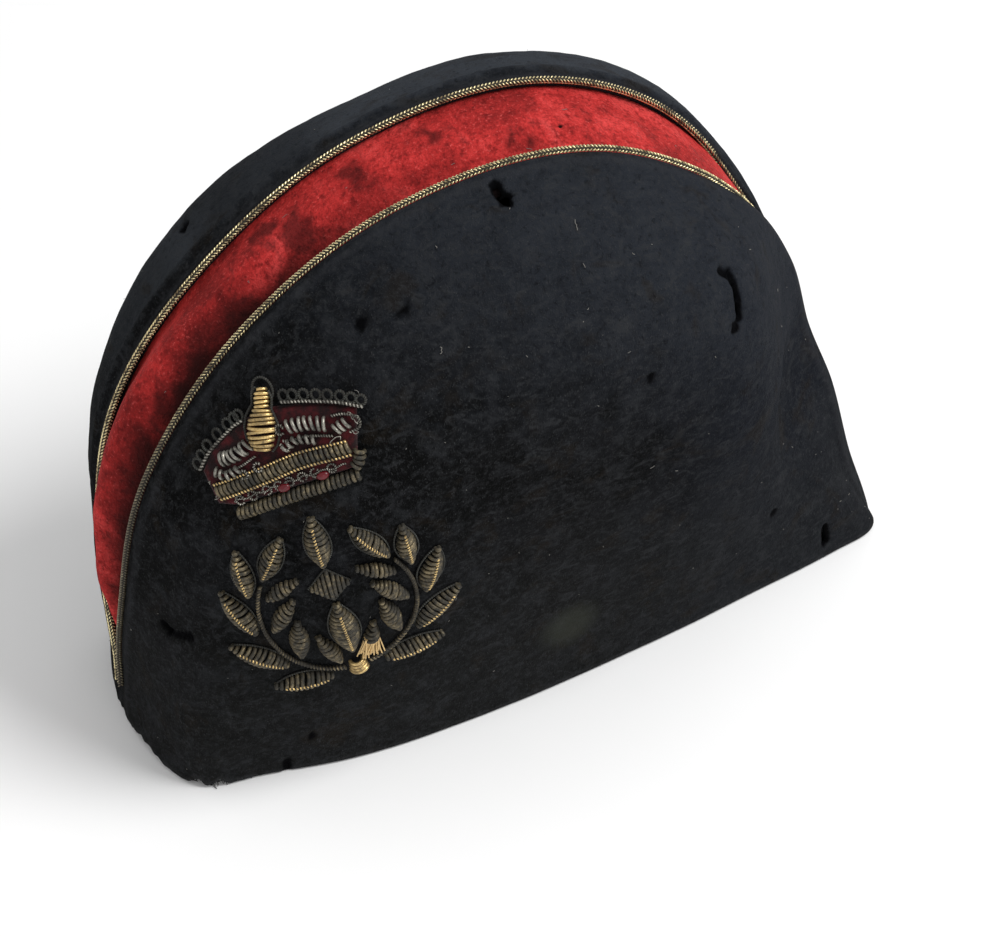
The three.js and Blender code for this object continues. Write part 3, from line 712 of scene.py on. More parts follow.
def grow(piece, tree, sizes):
    """Runs a tree on a piece and keeps the result as its plain mesh."""
    modifier = piece.modifiers.new(tree.name, "NODES")
    modifier.node_group = tree
    for item in tree.interface.items_tree:
        if item.in_out == "INPUT" and item.name in sizes:
            modifier[item.identifier] = sizes[item.name]
    seen = piece.evaluated_get(bpy.context.evaluated_depsgraph_get())
    mesh = bpy.data.meshes.new_from_object(seen)
    piece.modifiers.remove(modifier)
    path = piece.data
    piece.data = mesh
    bpy.data.meshes.remove(path)
    mesh.name = piece.name
    return piece


def make_path(name, lines, facts=()):
    """An object of open lines of points in the frame, with the named facts on the points."""
    mesh = bpy.data.meshes.new(name)
    starts = np.cumsum([0] + [len(line) for line in lines])
    edges = [(i, i + 1) for a, b in zip(starts[:-1], starts[1:]) for i in range(a, b - 1)]
    mesh.from_pydata(np.concatenate(lines).tolist(), edges, [])
    write_facts(mesh, {fact: np.concatenate(values) for fact, values in dict(facts).items()})
    return put_in_scene(name, mesh)


def path_fact(net, name, kind="FLOAT"):
    return net.node("GeometryNodeInputNamedAttribute", {"data_type": kind}, {"Name": name})()


def stations(net, path, pitch):
    """Even points along the path, and at each the turn that puts Z outward and X along the path."""
    curve = net.node("GeometryNodeMeshToCurve", {}, {"Mesh": path})()
    spacing = {"Curve": curve, "Length": pitch}
    points = net.node("GeometryNodeResampleCurve", {"mode": "LENGTH"}, spacing)()
    ways = {0: path_fact(net, "outward", "FLOAT_VECTOR"), 1: net.node("GeometryNodeInputTangent")()}
    axes = {"primary_axis": "Z", "secondary_axis": "X"}
    return points, net.node("FunctionNodeAxesToRotation", axes, ways)()


def round_wire(net, curve, radius, sides):
    """A round wire along each curve, with closed ends."""
    ring = net.node("GeometryNodeCurvePrimitiveCircle", {}, {"Resolution": sides, "Radius": radius})()
    sockets = {"Curve": curve, "Profile Curve": ring, "Fill Caps": True}
    return net.node("GeometryNodeCurveToMesh", {}, sockets)()


def turned_by(net, turn, more):
    return net.node("FunctionNodeRotateRotation", {"rotation_space": "LOCAL"}, {0: turn, 1: more})()


def xyz(net, **axes):
    return net.node("ShaderNodeCombineXYZ", {}, axes)()


def paint_gilt(net, place):
    speck = net.noise(place, 1500, 3, 0.7)
    tarnish = net.noise(place, 330, 3, 0.65)
    stretch = net.noise(place, 45, 2)
    across, back, up = (net.node("ShaderNodeSeparateXYZ", {}, {0: place})(axis) for axis in range(3))
    low_front = up.ramp(0.150, 0.095) * back.ramp(0.0, -0.03) * across.ramp(-0.004, 0.004)
    dull = (tarnish * 0.8 + speck * 0.5 + stretch * 0.35 - 0.36 + low_front * 0.16).ramp(0.38, 0.62)
    gilt = net.mix(dull, (0.95, 0.82, 0.47), (0.150, 0.108, 0.055))
    gilt = net.mix(low_front * 0.6, gilt, (0.150, 0.140, 0.105))
    return {
        "Base Color": gilt,
        "Roughness": dull * 0.25 + 0.28,
        "Metallic": dull * -0.35 + 0.95,
        "height": (speck, 0.00012, 0.5),
    }


gilt_thread = material("tarnished_gilt", {}, paint_gilt)


def mottled(scale, dark, light, spread, roughness):
    """Paints a plain stuff whose colour wanders between two tones."""

    def paint(net, place):
        tone = net.noise(place, scale, 2)
        return {"Base Color": net.mix(tone, dark, light), "Roughness": tone * spread + roughness}

    return paint


core_paint = mottled(900, (0.006, 0.005, 0.004), (0.024, 0.018, 0.010), 0.2, 0.7)
dark_core = material("dark_core_thread", {}, core_paint)

# The plait: four rows of slanted strands round a core, each row a quarter turn from the last.
plait_sizes = {"Pitch": "Float", "Ring radius": "Float", "Core radius": "Float"}
plait_sizes |= {"Grain": "Vector", "Slant": "Float"}
plait, net, size = growth("plait", plait_sizes)
points, frame_turn = stations(net, size["Path"], size["Pitch"])
grain = net.node("GeometryNodeMeshUVSphere", {}, {"Segments": 8, "Rings": 4, "Radius": 1.0})()
rows = []
for row in range(4):
    way = 1 if row % 2 else -1
    shift = size["Pitch"] * (0.25 * way)
    seat, slant = xyz(net, X=shift, Z=size["Ring radius"]), xyz(net, Z=size["Slant"] * way)
    laid_in = {"Geometry": grain, "Translation": seat, "Rotation": slant, "Scale": size["Grain"]}
    strand = net.node("GeometryNodeTransform", {}, laid_in)()
    about = {"Axis": (1, 0, 0), "Angle": math.radians(45 + 90 * row)}
    turn = turned_by(net, frame_turn, net.node("FunctionNodeAxisAngleToRotation", {}, about)())
    placed = {"Points": points, "Instance": strand, "Rotation": turn}
    rows.append(net.node("GeometryNodeInstanceOnPoints", {}, placed)())
core = round_wire(net, points, size["Core radius"], 8)
close_growth(net, [(rows, gilt_thread), ([core], dark_core)])

for side, surface, turned in (("left", plain_side, 1), ("right", fuller_side, -1)):
    angle = np.linspace(braid_start, braid_end, 500)[:, None]
    sunk = eased((angle - dive_start) / dive_length)
    across, out = edge_direction(angle[:, 0]), normal_of(surface, angle[:, 0], np.ones(500))
    centre = surface(angle[:, 0], 1)
    centre += across * (braid_past - dive_back * sunk) - out * (braid_in + dive_in * sunk)
    centre[:, 0] = np.maximum(centre[:, 0], braid_width / 2 + 0.15)
    beside = unit(across * (1 - 0.5 * sunk) + out)
    line, outward = into_frame(centre * [turned, 1, 1]), beside * [turned, 1, 1]
    path = make_path(f"braid_{side}_plait", [line], {"outward": [outward]})
    sizes = {"Pitch": 1.1 * mm, "Ring radius": 0.74 * mm, "Core radius": 0.80 * mm}
    sizes |= {"Grain": (0.72 * mm, 0.235 * mm, 0.38 * mm), "Slant": math.radians(42)}
    finish(grow(path, plait, sizes), None, [f"braid_{side}"])

# ---- The badge ----
# A hand-sewn badge, 58 x 80 mm, on the front half of the left panel: a crown on a crimson velvet pad
# over an open wreath of bullion leaves. Its gilt wire has tarnished nearly black in places, and it
# carries no lettering. All of it is sewn down on the nap.

badge_middle = plain_side(badge_angle, badge_height)
badge_out = normal_of(plain_side, badge_angle, badge_height)
badge_up = unit(np.array([0, 0, 1]) - badge_out * badge_out[2])
badge_axes = np.stack([np.cross(badge_up, badge_out), badge_up], -1)


def on_panel(drawing, over):
    """Lays points of the badge's drawing, in millimetres back and up, over the cloth. Gives the points
    and the ways out of the cloth there."""
    drawing = np.asarray(drawing, float)
    angle = np.full(drawing.shape[:-1], badge_angle)
    height = np.full(drawing.shape[:-1], badge_height)
    for _ in range(8):
        here = plain_side(angle, height)
        miss = drawing - (here - badge_middle) @ badge_axes
        turn = (plain_side(angle + 0.1, height) - here) @ badge_axes / 0.1
        rise = (plain_side(angle, height + 0.002) - here) @ badge_axes / 0.002
        size = turn[..., 0] * rise[..., 1] - rise[..., 0] * turn[..., 1]
        angle = angle + (miss[..., 0] * rise[..., 1] - miss[..., 1] * rise[..., 0]) / size
        height = height + (miss[..., 1] * turn[..., 0] - miss[..., 0] * turn[..., 1]) / size
    out = normal_of(plain_side, angle, height)
    return plain_side(angle, height) + out * np.asarray(over, float)[..., None], out


def smooth_line(corners, count):
    """A smooth line of evenly shared points through the corners."""
    corners = np.asarray(corners, float)
    place = np.linspace(0, len(corners) - 1, count)
    before, after = 2 * corners[:1] - corners[1:2], 2 * corners[-1:] - corners[-2:-1]
    longer = np.concatenate([before, corners, after])
    step = np.minimum(place.astype(int), len(corners) - 2)
    t = (place - step)[:, None]
    a, b, c, d = (longer[step + k] for k in range(4))
    bend, turn = 2 * a - 5 * b + 4 * c - d, 3 * b - a - 3 * c + d
    return 0.5 * (2 * b + (c - a) * t + bend * t**2 + turn * t**3)


def circle_line(middle, radius, start=0.0, turns=1.0, points=17):
    around = 2 * np.pi * (start + turns * np.linspace(0, 1, points))
    return np.asarray(middle, float) + radius * np.stack([np.cos(around), np.sin(around)], -1)


def beside_line(line, off):
    """The line moved off to its left."""
    along = unit(np.gradient(line, axis=0))
    return line + off * np.stack([-along[:, 1], along[:, 0]], -1)


def metal(bright, dull, worn, shine):
    """Paints wound wire: bright metal where it is rubbed, dull where it has tarnished."""

    def paint(net, place):
        winding = net.noise(place, 2600, 2, 0.6)
        speck = net.noise(place, 700, 3, 0.7)
        tarnish = net.noise(place, 150, 3, 0.6)
        dark = (tarnish * 0.6 + speck * 0.5 + winding * 0.2 - worn).ramp(0.42, 0.78)
        wire = net.mix(dark, bright, dull)
        wire = net.mix(winding.ramp(0.42, 0.26) * 0.7, wire, (0.010, 0.009, 0.007))
        look = {"Base Color": wire, "Metallic": dark * -0.5 + 0.95}
        bumps = winding * 0.6 + speck * 0.4
        return look | {"Roughness": dark * 0.3 + shine, "height": (bumps, 0.00022, 0.8)}

    return paint


# Each wire: its bright colour, its dull colour, how much of it is worn bright, and its roughness.
wires = {
    "tarnished_bullion": ((0.33, 0.265, 0.155), (0.034, 0.031, 0.024), -0.05, 0.34),
    "bright_gilt_wire": ((0.78, 0.56, 0.24), (0.11, 0.078, 0.042), 0.10, 0.28),
    "grey_purl": ((0.46, 0.44, 0.38), (0.060, 0.058, 0.050), 0.04, 0.30),
    "blackened_wire": ((0.10, 0.105, 0.095), (0.018, 0.020, 0.019), 0.02, 0.42),
}
bullion_wire, gold_wire, silver_wire, dark_wire = (
    material(name, {}, metal(*look)) for name, look in wires.items())

# Wire laid side by side over a padding: an arch of wire at every step along a middle line, as wide
# and as high as the line's half_width and lift say there.
laid_sizes = dict.fromkeys(["Step", "Wire", "Slant", "Unevenness"], "Float") | {"Metal": "Material"}
laid_wire, net, size = growth("laid_wire", laid_sizes)
points, frame_turn = stations(net, size["Path"], size["Step"])
arc_sizes = {"Resolution": 11, "Radius": 1.0, "Start Angle": 0.0, "Sweep Angle": math.pi}
arch = net.node("GeometryNodeCurveArc", {"mode": "RADIUS"}, arc_sizes)()
upright = {"Geometry": arch, "Rotation": (math.pi / 2, 0, math.pi / 2)}
arch = net.node("GeometryNodeTransform", {}, upright)()
least, most = (net.vector("SCALE", {0: (way,) * 3, 3: size["Unevenness"]}) for way in (-1, 1))
random_turn = {0: least, 1: most, "Seed": 5}
wobble = net.node("FunctionNodeRandomValue", {"data_type": "FLOAT_VECTOR"}, random_turn)()
slant = net.vector("ADD", {0: xyz(net, Z=size["Slant"]), 1: wobble})
turn = turned_by(net, frame_turn, net.node("FunctionNodeEulerToRotation", {}, {0: slant})())
spread = xyz(net, X=0.001, Y=path_fact(net, "half_width"), Z=path_fact(net, "lift"))
placed = {"Points": points, "Instance": arch, "Rotation": turn, "Scale": spread}
arches = net.node("GeometryNodeInstanceOnPoints", {}, placed)()
arches = net.node("GeometryNodeRealizeInstances", {}, {0: arches})()
arches = net.node("GeometryNodeSetCurveRadius", {}, {"Curve": arches, "Radius": 1.0})()
close_growth(net, [([round_wire(net, arches, size["Wire"], 7)], size["Metal"])])

# Twisted or beaded wire: a slanted bead at every step along a plain core.
strung_sizes = {"Step": "Float", "Core": "Float", "Bead": "Vector", "Slant": "Float"}
strung_sizes |= {"Metal": "Material", "Core thread": "Material"}
strung_wire, net, size = growth("strung_wire", strung_sizes)
points, frame_turn = stations(net, size["Path"], size["Step"])
bead = net.node("GeometryNodeMeshUVSphere", {}, {"Segments": 8, "Rings": 5, "Radius": 1.0})()
for change in ({"Scale": size["Bead"]}, {"Rotation": xyz(net, Z=size["Slant"])}):
    bead = net.node("GeometryNodeTransform", {}, {"Geometry": bead} | change)()
placed = {"Points": points, "Instance": bead, "Rotation": frame_turn}
beads = net.node("GeometryNodeInstanceOnPoints", {}, placed)()
core = round_wire(net, points, size["Core"], 7)
close_growth(net, [([beads], size["Metal"]), ([core], size["Core thread"])])


def sew(name, lines, growing, nodes=()):
    """Grows a tree along lines on the panel. A line is its points in the drawing and how far it lies
    over the cloth, and for laid wire its half widths and lifts. growing is a tree and its sizes."""
    lines = [(*line, 0, 0)[:4] for line in lines]
    placed = [on_panel(drawing, np.broadcast_to(over, len(drawing))) for drawing, over, _, _ in lines]
    facts = {"outward": [out for _, out in placed]}
    for fact, which in (("half_width", 2), ("lift", 3)):
        facts[fact] = [np.broadcast_to(line[which], len(line[0])) * mm for line in lines]
    path = make_path(name, [into_frame(points) for points, _ in placed], facts)
    grow(path, *growing)
    return finish(path, None, nodes)


def laid(made, step=1.5, wire=0.70, slant=0.0, unevenness=0.05):
    sizes = {"Step": step * mm, "Wire": wire * mm, "Slant": math.radians(slant)}
    return laid_wire, sizes | {"Unevenness": unevenness, "Metal": made}


def twisted(made, width=0.8, step=None, slant=32):
    reach, step = width / 2 * mm, (step or width * 0.9) * mm
    sizes = {"Step": step, "Core": reach * 0.7, "Bead": (step * 0.36, reach, reach)}
    return strung_wire, sizes | {"Slant": math.radians(slant), "Metal": made, "Core thread": dark_core}


# The crown's velvet pad, between its lower and upper outlines.
pad_clearance, pad_height, pad_rounding = 0.3, 1.55, 1.2
pad_below = smooth_line([(-25.5, 2.2), (-20, 3.4), (-10.6, 8.1), (-0.8, 12.5), (13, 17.8)], 70)[:, None]
pad_above = [(-30, 10), (-27, 16.5), (-21, 23.5), (-14, 29.5), (-6, 32.5), (4, 34.5), (13, 34.5)]
pad_above = smooth_line(pad_above, 70)[:, None]
pad_drawing = pad_below + (pad_above - pad_below) * np.linspace(0, 1, 30)[None, :, None]
pad_floor, pad_out = on_panel(pad_drawing, pad_clearance + 0 * pad_drawing[..., 0])
pad_rim = np.minimum(from_ends(pad_floor, 0), from_ends(pad_floor, 1))
pad_rise = pad_height * np.maximum(rounded(pad_rim, pad_rounding), 0.08)
pad_rise += 0.12 * swells(pad_floor, 5, 41) * np.clip(pad_rim / 2, 0, 1)
pad_face, pad_cells = pad_floor + pad_out * pad_rise[..., None], np.ones((69, 29), bool)
badge_pad = make_mesh("badge_velvet_pad", *wall(pad_face, pad_floor, pad_cells, {}))


def paint_crimson(net, place):
    pile = net.noise(place, 1900, 3, 0.65)
    worn = net.noise(place, 260, 3, 0.6)
    velvet = net.mix(worn.ramp(0.38, 0.72), (0.010, 0.0030, 0.0034), (0.062, 0.0055, 0.0075))
    velvet = net.mix(pile.ramp(0.60, 0.78) * 0.5, velvet, (0.17, 0.032, 0.038))
    return {"Base Color": velvet, "Roughness": pile * 0.2 + 0.75, "height": (pile, 0.0004, 0.7)}


crimson_finish = {"Specular IOR Level": 0.15, "Sheen Weight": 0.08}
crimson_velvet = material("crimson_velvet", crimson_finish, paint_crimson)
finish(badge_pad, crimson_velvet, ["badge_velvet"])

# The crown: a band of upright wire between two beaded wires, a circlet below it, the two arches with
# a row of thread pearls, clusters of purl loops on the velvet, and the orb on top.
band = smooth_line([(-25, 6), (-12, 13.7), (-2, 19.3), (10.5, 23.6)], 60)
circlet = smooth_line([(-19.5, 1), (-10, 6), (0, 10.5), (13, 15.5)], 60)
sew("badge_band_wires", [(band, 1.9, 1.45, 1.0)], laid(bullion_wire, 1.45, 0.6, 8), ["badge_band"])
for edge, off, width in (("upper", 1.95, 1.1), ("lower", -1.95, 1.25)):
    beads = twisted(gold_wire, width, 1.0)
    sew(f"badge_band_{edge}_edge", [(beside_line(band, off), 2.5)], beads, ())
circlet_end = smooth_line([(12.4, 18.4), (13.3, 20.0), (13.5, 22.6)], 12)
circlet_lines = [(circlet, 0.5, 1.5, 1.9), (circlet_end, 1.0, 1.4, 1.9)]
sew("badge_circlet_wires", circlet_lines, laid(bullion_wire, 1.4, 0.62, -6), ["badge_circlet"])
between = (band[3:-3] + circlet[3:-3]) / 2
share = np.linspace(0, 1, len(between))
scrolls = []
for start in np.linspace(0.02, 0.86, 8):
    middle = between[round(start * (len(between) - 1))] + [0.9, 0.5]
    scrolls.append((circle_line(middle, 1.2, start * 3.1, 0.85), 2.2))
scrolls.append((beside_line(between, 0.3 * np.sin(40 * share)[:, None]), 2.0))
sew("badge_scrolls", scrolls, twisted(silver_wire, 0.8, 0.6))
left_arch = smooth_line([(-30, 10.5), (-27, 16.3), (-21.3, 23.2), (-18.3, 25.9)], 50)
right_arch = smooth_line([(-7, 33), (0, 34.5), (8, 35.3), (14.5, 34.8)], 50)
for side, arch_line, pearls in (("left", left_arch, 7), ("right", right_arch, 8)):
    cord, pearl_wire = twisted(silver_wire, 1.3, 1.0, 40), twisted(dark_wire, 1.2, 0.6)
    sew(f"badge_arch_{side}_cord", [(arch_line, 2.3)], cord, [f"badge_arch_{side}"])
    centres = beside_line(arch_line, 1.5)[np.linspace(1, 48, pearls).astype(int)]
    sew(f"badge_pearls_{side}", [(circle_line(p, 1.3), 1.5) for p in centres], pearl_wire)
loops = [
    (smooth_line([(-23.8, 15.0), (-20.0, 17.2), (-16.6, 20.4)], 12), 2.0, 1.8, 1.6),
    (smooth_line([(-5.2, 27.4), (-0.5, 29.0), (4.4, 29.4)], 12), 2.0, 1.8, 1.6),
    (smooth_line([(7.6, 28.4), (10.2, 30.2)], 8), 2.0, 1.5, 1.5),
    (smooth_line([(-25.5, 11.2), (-22.4, 11.0), (-19.4, 13.4)], 10), 2.0, 1.2, 1.3),
    (smooth_line([(-6.2, 21.8), (-3.2, 24.4), (1.4, 25.0)], 10), 2.0, 1.1, 1.2),
]
sew("badge_purl_loops", loops, laid(silver_wire, 1.55, 0.5, 12, 0.2))
bars = [
    (smooth_line([(-23.6, 11.6), (-19, 14.2), (-14.6, 18)], 14), 2.3),
    (smooth_line([(-4.6, 24.0), (0.5, 25.9), (6.5, 26.6)], 14), 2.3),
    (circle_line((-13.6, 15.5), 1.1, 0.2, 0.8), 2.9),
    (circle_line((-6.0, 22.6), 1.2, 0.5, 0.8), 3.1),
    (circle_line((-17.6, 12.6), 1.1, 0.7, 0.7), 2.7),
    (circle_line((-7.6, 26.2), 1.2, 0.1, 0.8), 2.6),
    (smooth_line([(6.6, 31.8), (9.6, 32.6), (13.4, 32.0), (13.9, 29.6), (11.4, 28.0)], 16), 2.5),
]
sew("badge_purl_bars", bars, twisted(silver_wire, 1.0, 0.7))

# The orb: wound sideways with the brightest wire, with its neck and knob, inside a black outline.
orb_middle, orb_foot, orb_height = -12.5, 20.4, 14.4
orb_rise = np.linspace(0, 1, 40)
orb_shares = (0, 0.12, 0.3, 0.5, 0.63, 0.72, 0.82, 0.92, 1)
orb_widths = (2.2, 3.5, 4.1, 3.7, 2.7, 1.9, 2.0, 2.0, 1.2)
orb_half = np.interp(orb_rise, orb_shares, orb_widths)


def orb_side(off):
    return np.stack([orb_middle + off, orb_foot + orb_height * orb_rise], -1)


orb_wires = [(orb_side(0 * orb_rise), 2.1, orb_half, 0.6 + 0.55 * orb_half)]
orb_look = laid(gold_wire, 1.15, 0.5, 5, 0.09)
sew("badge_orb_wires", orb_wires, orb_look, ["badge_finial"])
orb_edges = [(orb_side(way * (orb_half + 0.75)), 2.3) for way in (-1, 1)]
orb_edges += [(circle_line((-12.6, 34.6), 2.9, -0.08, 0.66), 1.6)]
sew("badge_orb_outline", orb_edges, twisted(dark_wire, 1.0, 0.65))

# Two red stones between the band and the circlet, cut with eight sides.
stone_paint = mottled(500, (0.050, 0.003, 0.005), (0.15, 0.006, 0.012), 0.1, 0.25)
red_stone = material("red_stone", {"Specular IOR Level": 0.4}, stone_paint)
for side, middle in (("front", (-7, 10.9)), ("back", (3.5, 15.4))):
    seat = np.array([middle, np.add(middle, (0.2, 0.09))])
    cut = {"Step": 1.0, "Core": 0.3 * mm, "Bead": (1.9 * mm, 1.25 * mm, 1.0 * mm), "Slant": 0.0}
    cut |= {"Metal": red_stone, "Core thread": red_stone}
    stone = strung_wire, cut
    sew(f"badge_stone_{side}_cut", [(seat, 2.3)], stone, [f"badge_stone_{side}"])

# The wreath. Each leaf is (x, y, turn, length, width) in the wreath's own drawing. The front branch
# is the back one mirrored.
wreath_at, wreath_turn = np.array([5.0, -29.0]), 10
branch = {
    "outer_1": (7, -29.8, 2, 17, 6.6),
    "inner_1": (4, -24.8, 73, 13, 5),
    "outer_2": (17.8, -21.3, 36, 18, 6.8),
    "inner_2": (13.8, -18.9, 98, 14.5, 5.8),
    "outer_3": (23.5, -6.8, 66, 17, 6.6),
    "inner_3": (18.9, -6.4, 128, 13, 5.4),
    "outer_4": (22.6, 7, 88, 15, 5.8),
    "inner_4": (17.9, 5.8, 152, 11, 4.8),
    "tip": (17.7, 12.6, 122, 15.5, 6),
}


def direction(turn):
    return np.array([math.cos(math.radians(turn)), math.sin(math.radians(turn))])


def from_wreath(drawing):
    axes = np.stack([direction(wreath_turn), direction(wreath_turn + 90)])
    return np.asarray(drawing, float) @ axes + wreath_at


def leaf_line(x, y, turn, length, width, side=1, first=0.05):
    """A leaf's middle line in the badge's drawing, and how wide the leaf is on each side of it."""
    share = np.linspace(first, 0.97, 24)
    middle = (np.array([x, y]) + length * share[:, None] * direction(turn)) * [side, 1]
    t = np.linspace(0, 1, 60)
    along = 0.75 * t * (1 - t) ** 2 + 1.95 * t**2 * (1 - t) + t**3
    return from_wreath(middle), np.interp(share, along, 2.04 * width * t * (1 - t))


def sew_leaf(node, line, growing, least, vein_over):
    """Winds a leaf with wire. Its vein and its two edges are kept for the end, to go on together."""
    middle, half = line
    lift = 1.2 + 0.45 * half
    sew(f"{node}_wires", [(middle, 0.5, np.maximum(half - 0.5, least), lift)], growing, [node])
    edges = [(beside_line(middle, way * (half + 0.25)[:, None]), 0.65) for way in (-1, 1)]
    return (middle[2:-4], vein_over + lift[2:-4]), edges


veins, leaf_edges = [], []
for side, mirrored in (("back", 1), ("front", -1)):
    for leaf, sizes in branch.items():
        frayed = (side, leaf) == ("back", "inner_1")
        line = leaf_line(*sizes, mirrored, 0.5 if frayed else 0.05)
        winding = laid(bullion_wire, 1.35, 0.62, 14 * mirrored, 0.07)
        vein, edges = sew_leaf(f"badge_leaf_{side}_{leaf}", line, winding, 0.5, 0.75)
        if "outer" in leaf or leaf == "tip":
            veins.append(vein)
            leaf_edges += edges
palms = {"lower": (0, -21.5, 90, 21, 8), "upper": (0, 14.5, 90, 17, 6.8)}
for palm, sizes in palms.items():
    winding = laid(bullion_wire, 1.4, 0.66, 0, 0.05)
    vein, edges = sew_leaf(f"badge_palm_{palm}", leaf_line(*sizes), winding, 0.6, 0.9)
    veins.append(vein)
    leaf_edges += edges
sew("badge_veins", veins, twisted(gold_wire, 1.1, 0.95, 35), ())
sew("badge_leaf_edges", leaf_edges, twisted(dark_wire, 0.75, 0.7))

# The lozenge, wound upright inside a black outline, the tie, and the two stems.
lozenge_x, lozenge_y = np.linspace(-4.9, 4.9, 24), 7
lozenge_half = 6 * (1 - np.abs(lozenge_x) / 5.6)
lozenge = from_wreath(np.stack([lozenge_x, lozenge_y + 0 * lozenge_x], -1))
lozenge_wires = [(lozenge, 0.5, np.maximum(lozenge_half - 0.4, 0.5), 1.2 + 0.2 * lozenge_half)]
sew("badge_lozenge_wires", lozenge_wires, laid(bullion_wire, 1.2, 0.6, 0, 0.03), ["badge_lozenge"])
corners = from_wreath([(-5.9, 7), (0, 13.2), (5.9, 7), (0, 0.8), (-5.9, 7)])
steps = np.linspace(0, 1, 8)[:, None]
outline = np.concatenate([a + (b - a) * steps for a, b in zip(corners[:-1], corners[1:])])
sew("badge_lozenge_outline", [(outline, 0.7)], twisted(dark_wire, 0.8, 0.7))
tie = from_wreath(np.stack([np.zeros(10), np.linspace(-30.6, -26.6, 10)], -1))
tie_wires = [(tie, 0.5, np.linspace(2.5, 1.9, 10), 2.0)]
sew("badge_tie_wires", tie_wires, laid(gold_wire, 1.2, 0.55), ["badge_tie"])
around, stem_across, stem_up = np.radians(np.linspace(10, 119, 90)), 21.5, 26
for side, mirrored in (("back", 1), ("front", -1)):
    stem = [mirrored * stem_across * np.sin(around), -2.5 - stem_up * np.cos(around)]
    cord = twisted(bullion_wire, 1.7, 1.05, 38)
    stem_line = [(from_wreath(np.stack(stem, -1)), 1.15)]
    sew(f"badge_stem_{side}_cord", stem_line, cord, [f"badge_stem_{side}"])

# One leaf by the tie has lost the wire of its root half: its straw-coloured padding threads stick out.
x, y, turn, length, _ = branch["inner_1"]
way = direction(turn)
chance = np.random.default_rng(12)
straws = []
for _ in range(46):
    share = np.linspace(0.52, chance.uniform(-0.12, 0.16), 7)[:, None]
    off = chance.uniform(-2.0, 2.0) + chance.normal(0, 1.2) * (0.52 - share) * 2
    straw = np.array([x, y]) + length * share * way + off * np.array([-way[1], way[0]])
    straws.append((from_wreath(straw), chance.uniform(0.5, 2.6)))
straw_paint = mottled(700, (0.50, 0.32, 0.12), (0.85, 0.62, 0.30), 0.2, 0.6)
straw_thread = material("straw_thread", {}, straw_paint)
fibre_sizes = {"Step": "Float", "Thickness": "Float", "Stuff": "Material"}
fibre, net, size = growth("fibre", fibre_sizes)
points, _ = stations(net, size["Path"], size["Step"])
close_growth(net, [([round_wire(net, points, size["Thickness"], 5)], size["Stuff"])])


def fibres(step, thickness, stuff):
    return fibre, {"Step": step * mm, "Thickness": thickness * mm, "Stuff": stuff}


sew("badge_loose_threads", straws, fibres(0.8, 0.2, straw_thread))

# A few turns of fine wire have come loose at the crown's ends.
loose_ends = [(12.5, 30, 0.4), (13, 28, 1.1), (10, 33, 0.2), (-27, 8, 3.4), (-25, 5, 3.9)]
loose_ends += [(8, 25.5, 0.5), (-8, 14, 2.4)]
loose = []
for x, y, start in loose_ends:
    heading = np.cumsum(chance.normal(start, 0.7, 7))
    heading += start - heading[0]
    wander = np.cumsum(np.stack([np.cos(heading), np.sin(heading)], -1), 0) * 0.75
    loose.append((wander + [x, y], 2.4 + 0.1 * np.arange(7)))
sew("badge_loose_wires", loose, fibres(0.4, 0.14, silver_wire))

# ---- The lint ----
# Pale specks and short curled fibres caught on the wool and the velvet, each lying on the nap, and
# dark ends of thread where the hem has frayed.

lint_paint = mottled(300, (0.07, 0.068, 0.062), (0.30, 0.29, 0.265), 0.1, 0.8)
lint_stuff = material("pale_lint", {}, lint_paint)


def scatter(name, lines, outward, growing):
    """Thin threads along lines of points in the frame."""
    facts = {"outward": [np.tile(outward, (len(line), 1)) for line in lines]}
    finish(grow(make_path(name, lines, facts), *growing), None)


def curled(chance, place, out, length, curl):
    """A fibre that wanders over the surface from a place on it."""
    side = unit(np.cross(out, [0.3, 0.2, 1.0]))
    heading, points = chance.uniform(0, 2 * np.pi), [place + out * 0.25]
    for _ in range(6):
        heading += chance.normal(0, curl)
        way = side * math.cos(heading) + np.cross(out, side) * math.sin(heading)
        points.append(points[-1] + way * length / 6 + out * chance.normal(0, 0.04))
    return np.array(points)


# The larger specks and curls on the left panel: (rib angle, height, length in millimetres, curl).
chance = np.random.default_rng(8)
caught = [
    (79.2, 0.932, 1.0, 1.2), (91.7, 0.828, 1.3, 0.5), (97, 0.841, 0.9, 0.5), (111.9, 0.888, 1.1, 0.5),
    (119.7, 0.858, 0.9, 0.5), (91.2, 0.762, 0.8, 0.5), (95.6, 0.669, 1.0, 0.5), (99.9, 0.411, 1.6, 0.4),
    (103.7, 0.396, 0.9, 0.5), (92, 0.903, 3.4, 0.9), (66.3, 0.803, 3.0, 0.7), (75.8, 0.789, 2.6, 0.8),
    (48.8, 0.233, 2.0, 0.6), (73.2, 0.268, 1.2, 0.6),
]
for panel_side, surface, turned in (("left", plain_side, 1), ("right", fuller_side, -1)):
    flecks = [
        (chance.uniform(12, 168), chance.uniform(0.06, 0.97), chance.uniform(0.2, 0.8), 0.7)
        for _ in range(60)]
    lines = []
    for angle, height, length, curl in (caught if panel_side == "left" else []) + flecks:
        angle, height = np.array([angle]), np.array([height])
        place, out = surface(angle, height)[0], normal_of(surface, angle, height)[0]
        line = curled(chance, place, out, length, curl)
        lines.append(into_frame(line * [turned, 1, 1]))
    scatter(f"lint_{panel_side}", lines, [turned, 0.0, 0.3], fibres(0.4, 0.09, lint_stuff))
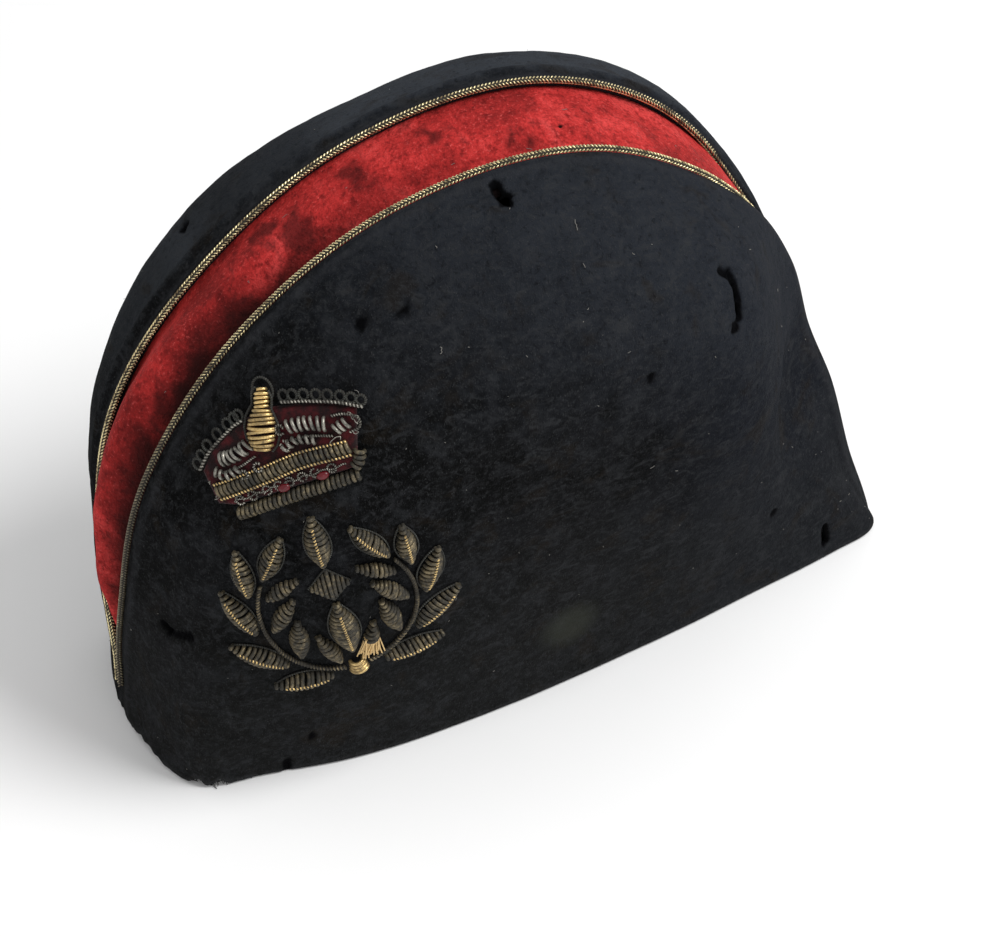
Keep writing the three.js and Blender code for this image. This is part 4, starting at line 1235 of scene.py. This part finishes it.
# On the strip they lie at these rows and columns of its grid.
on_strip = ((265, 20), (306, 33), (232, 30), (347, 26), (190, 24), (143, 22), (210, 36), (288, 17))
lines = []
for spot in on_strip:
    line = curled(chance, strip_face[spot], strip_out[spot], chance.uniform(0.8, 2.2), 0.8)
    lines.append(into_frame(line))
scatter("lint_crown", lines, [0.0, 0.3, 1.0], fibres(0.4, 0.07, lint_stuff))

# The hem's loose ends, most of them where it is torn at the front.
frays = []
for _ in range(70):
    at = np.array([chance.choice([chance.normal(26, 4.5), chance.uniform(8, 40)])])
    height = 1 - height_below_edge(at, left_fraying(at), 0.5, 6.0)
    out = normal_of(plain_side, at, height)[0]
    start = plain_side(at, height)[0] - out
    way = -0.8 * unit(edge_outward(at)[0]) * [1, 1, 0] + chance.normal(0, 0.6, 3) + [0, 0, -0.5]
    steps = np.linspace(0, chance.uniform(0.6, 2.2), 6)[:, None]
    fray = start + steps * unit(way) + 0.25 * steps * chance.normal(0, 0.5, 3)
    frays.append(into_frame(np.maximum(fray, [0.5, -200, 0.15])))
scatter("hem_threads", frays, [1.0, 0.0, 0.1], fibres(0.3, 0.11, melton))

# ---- The room ----
# The cap stands on a plain white table in soft light: an even sky, one wide lamp high behind its
# left side and a weaker one in front. The camera looks down on its left side.

table_top = -0.0002
table = np.array([[-4, -4, table_top], [4, -4, table_top], [4, 4, table_top], [-4, 4, table_top]])
floor = make_mesh("floor", table, np.array([[0, 1, 2, 3]]))
floor_paint = mottled(30, (0.96, 0.96, 0.96), (0.98, 0.98, 0.98), 0.1, 0.8)
floor.data.materials.append(material("pale_floor", {"Specular IOR Level": 0.1}, floor_paint))

world = bpy.data.worlds.new("sky")
world.use_nodes = True
sky = world.node_tree.nodes["Background"].inputs
sky["Color"].default_value = (1, 1, 1, 1)
sky["Strength"].default_value = 0.62
bpy.context.scene.world = world
bpy.context.scene.view_settings.view_transform = "Standard"


def lamp(name, place, width, power):
    light = bpy.data.lights.new(name, "AREA")
    light.shape, light.size, light.energy = "DISK", width, power
    aim = (Vector((0, 0, 0.1)) - Vector(place)).to_track_quat("-Z", "Y").to_matrix().to_4x4()
    put_in_scene(name, light).matrix_world = Matrix.Translation(place) @ aim


lamp("high_lamp", (0.55, 0.75, 1.45), 0.8, 20.0)
lamp("front_lamp", (1.6, -0.7, 0.6), 0.6, 2.5)

camera_turn, camera_rise, camera_roll = math.radians(20), math.radians(41), math.radians(1)
camera_distance, shift_right, shift_up = 1.25, -0.0033, -0.00993
toward = Vector((
    math.cos(camera_turn) * math.cos(camera_rise),
    -math.sin(camera_turn) * math.cos(camera_rise),
    math.sin(camera_rise),
))
right = Vector((math.sin(camera_turn), math.cos(camera_turn), 0))
up = toward.cross(right)
aim = Vector(into_frame([0, 0, 70])) + shift_right * right + shift_up * up
level, upright = right, up
right = level * math.cos(camera_roll) - upright * math.sin(camera_roll)
up = level * math.sin(camera_roll) + upright * math.cos(camera_roll)
lens = bpy.data.cameras.new("camera")
lens.sensor_width, lens.lens = 36, 152.85
lens.clip_end = 20
camera = put_in_scene("camera", lens)
facing = Matrix((right, up, toward)).transposed().to_4x4()
camera.matrix_world = Matrix.Translation(aim + camera_distance * toward) @ facing
bpy.context.scene.camera = camera
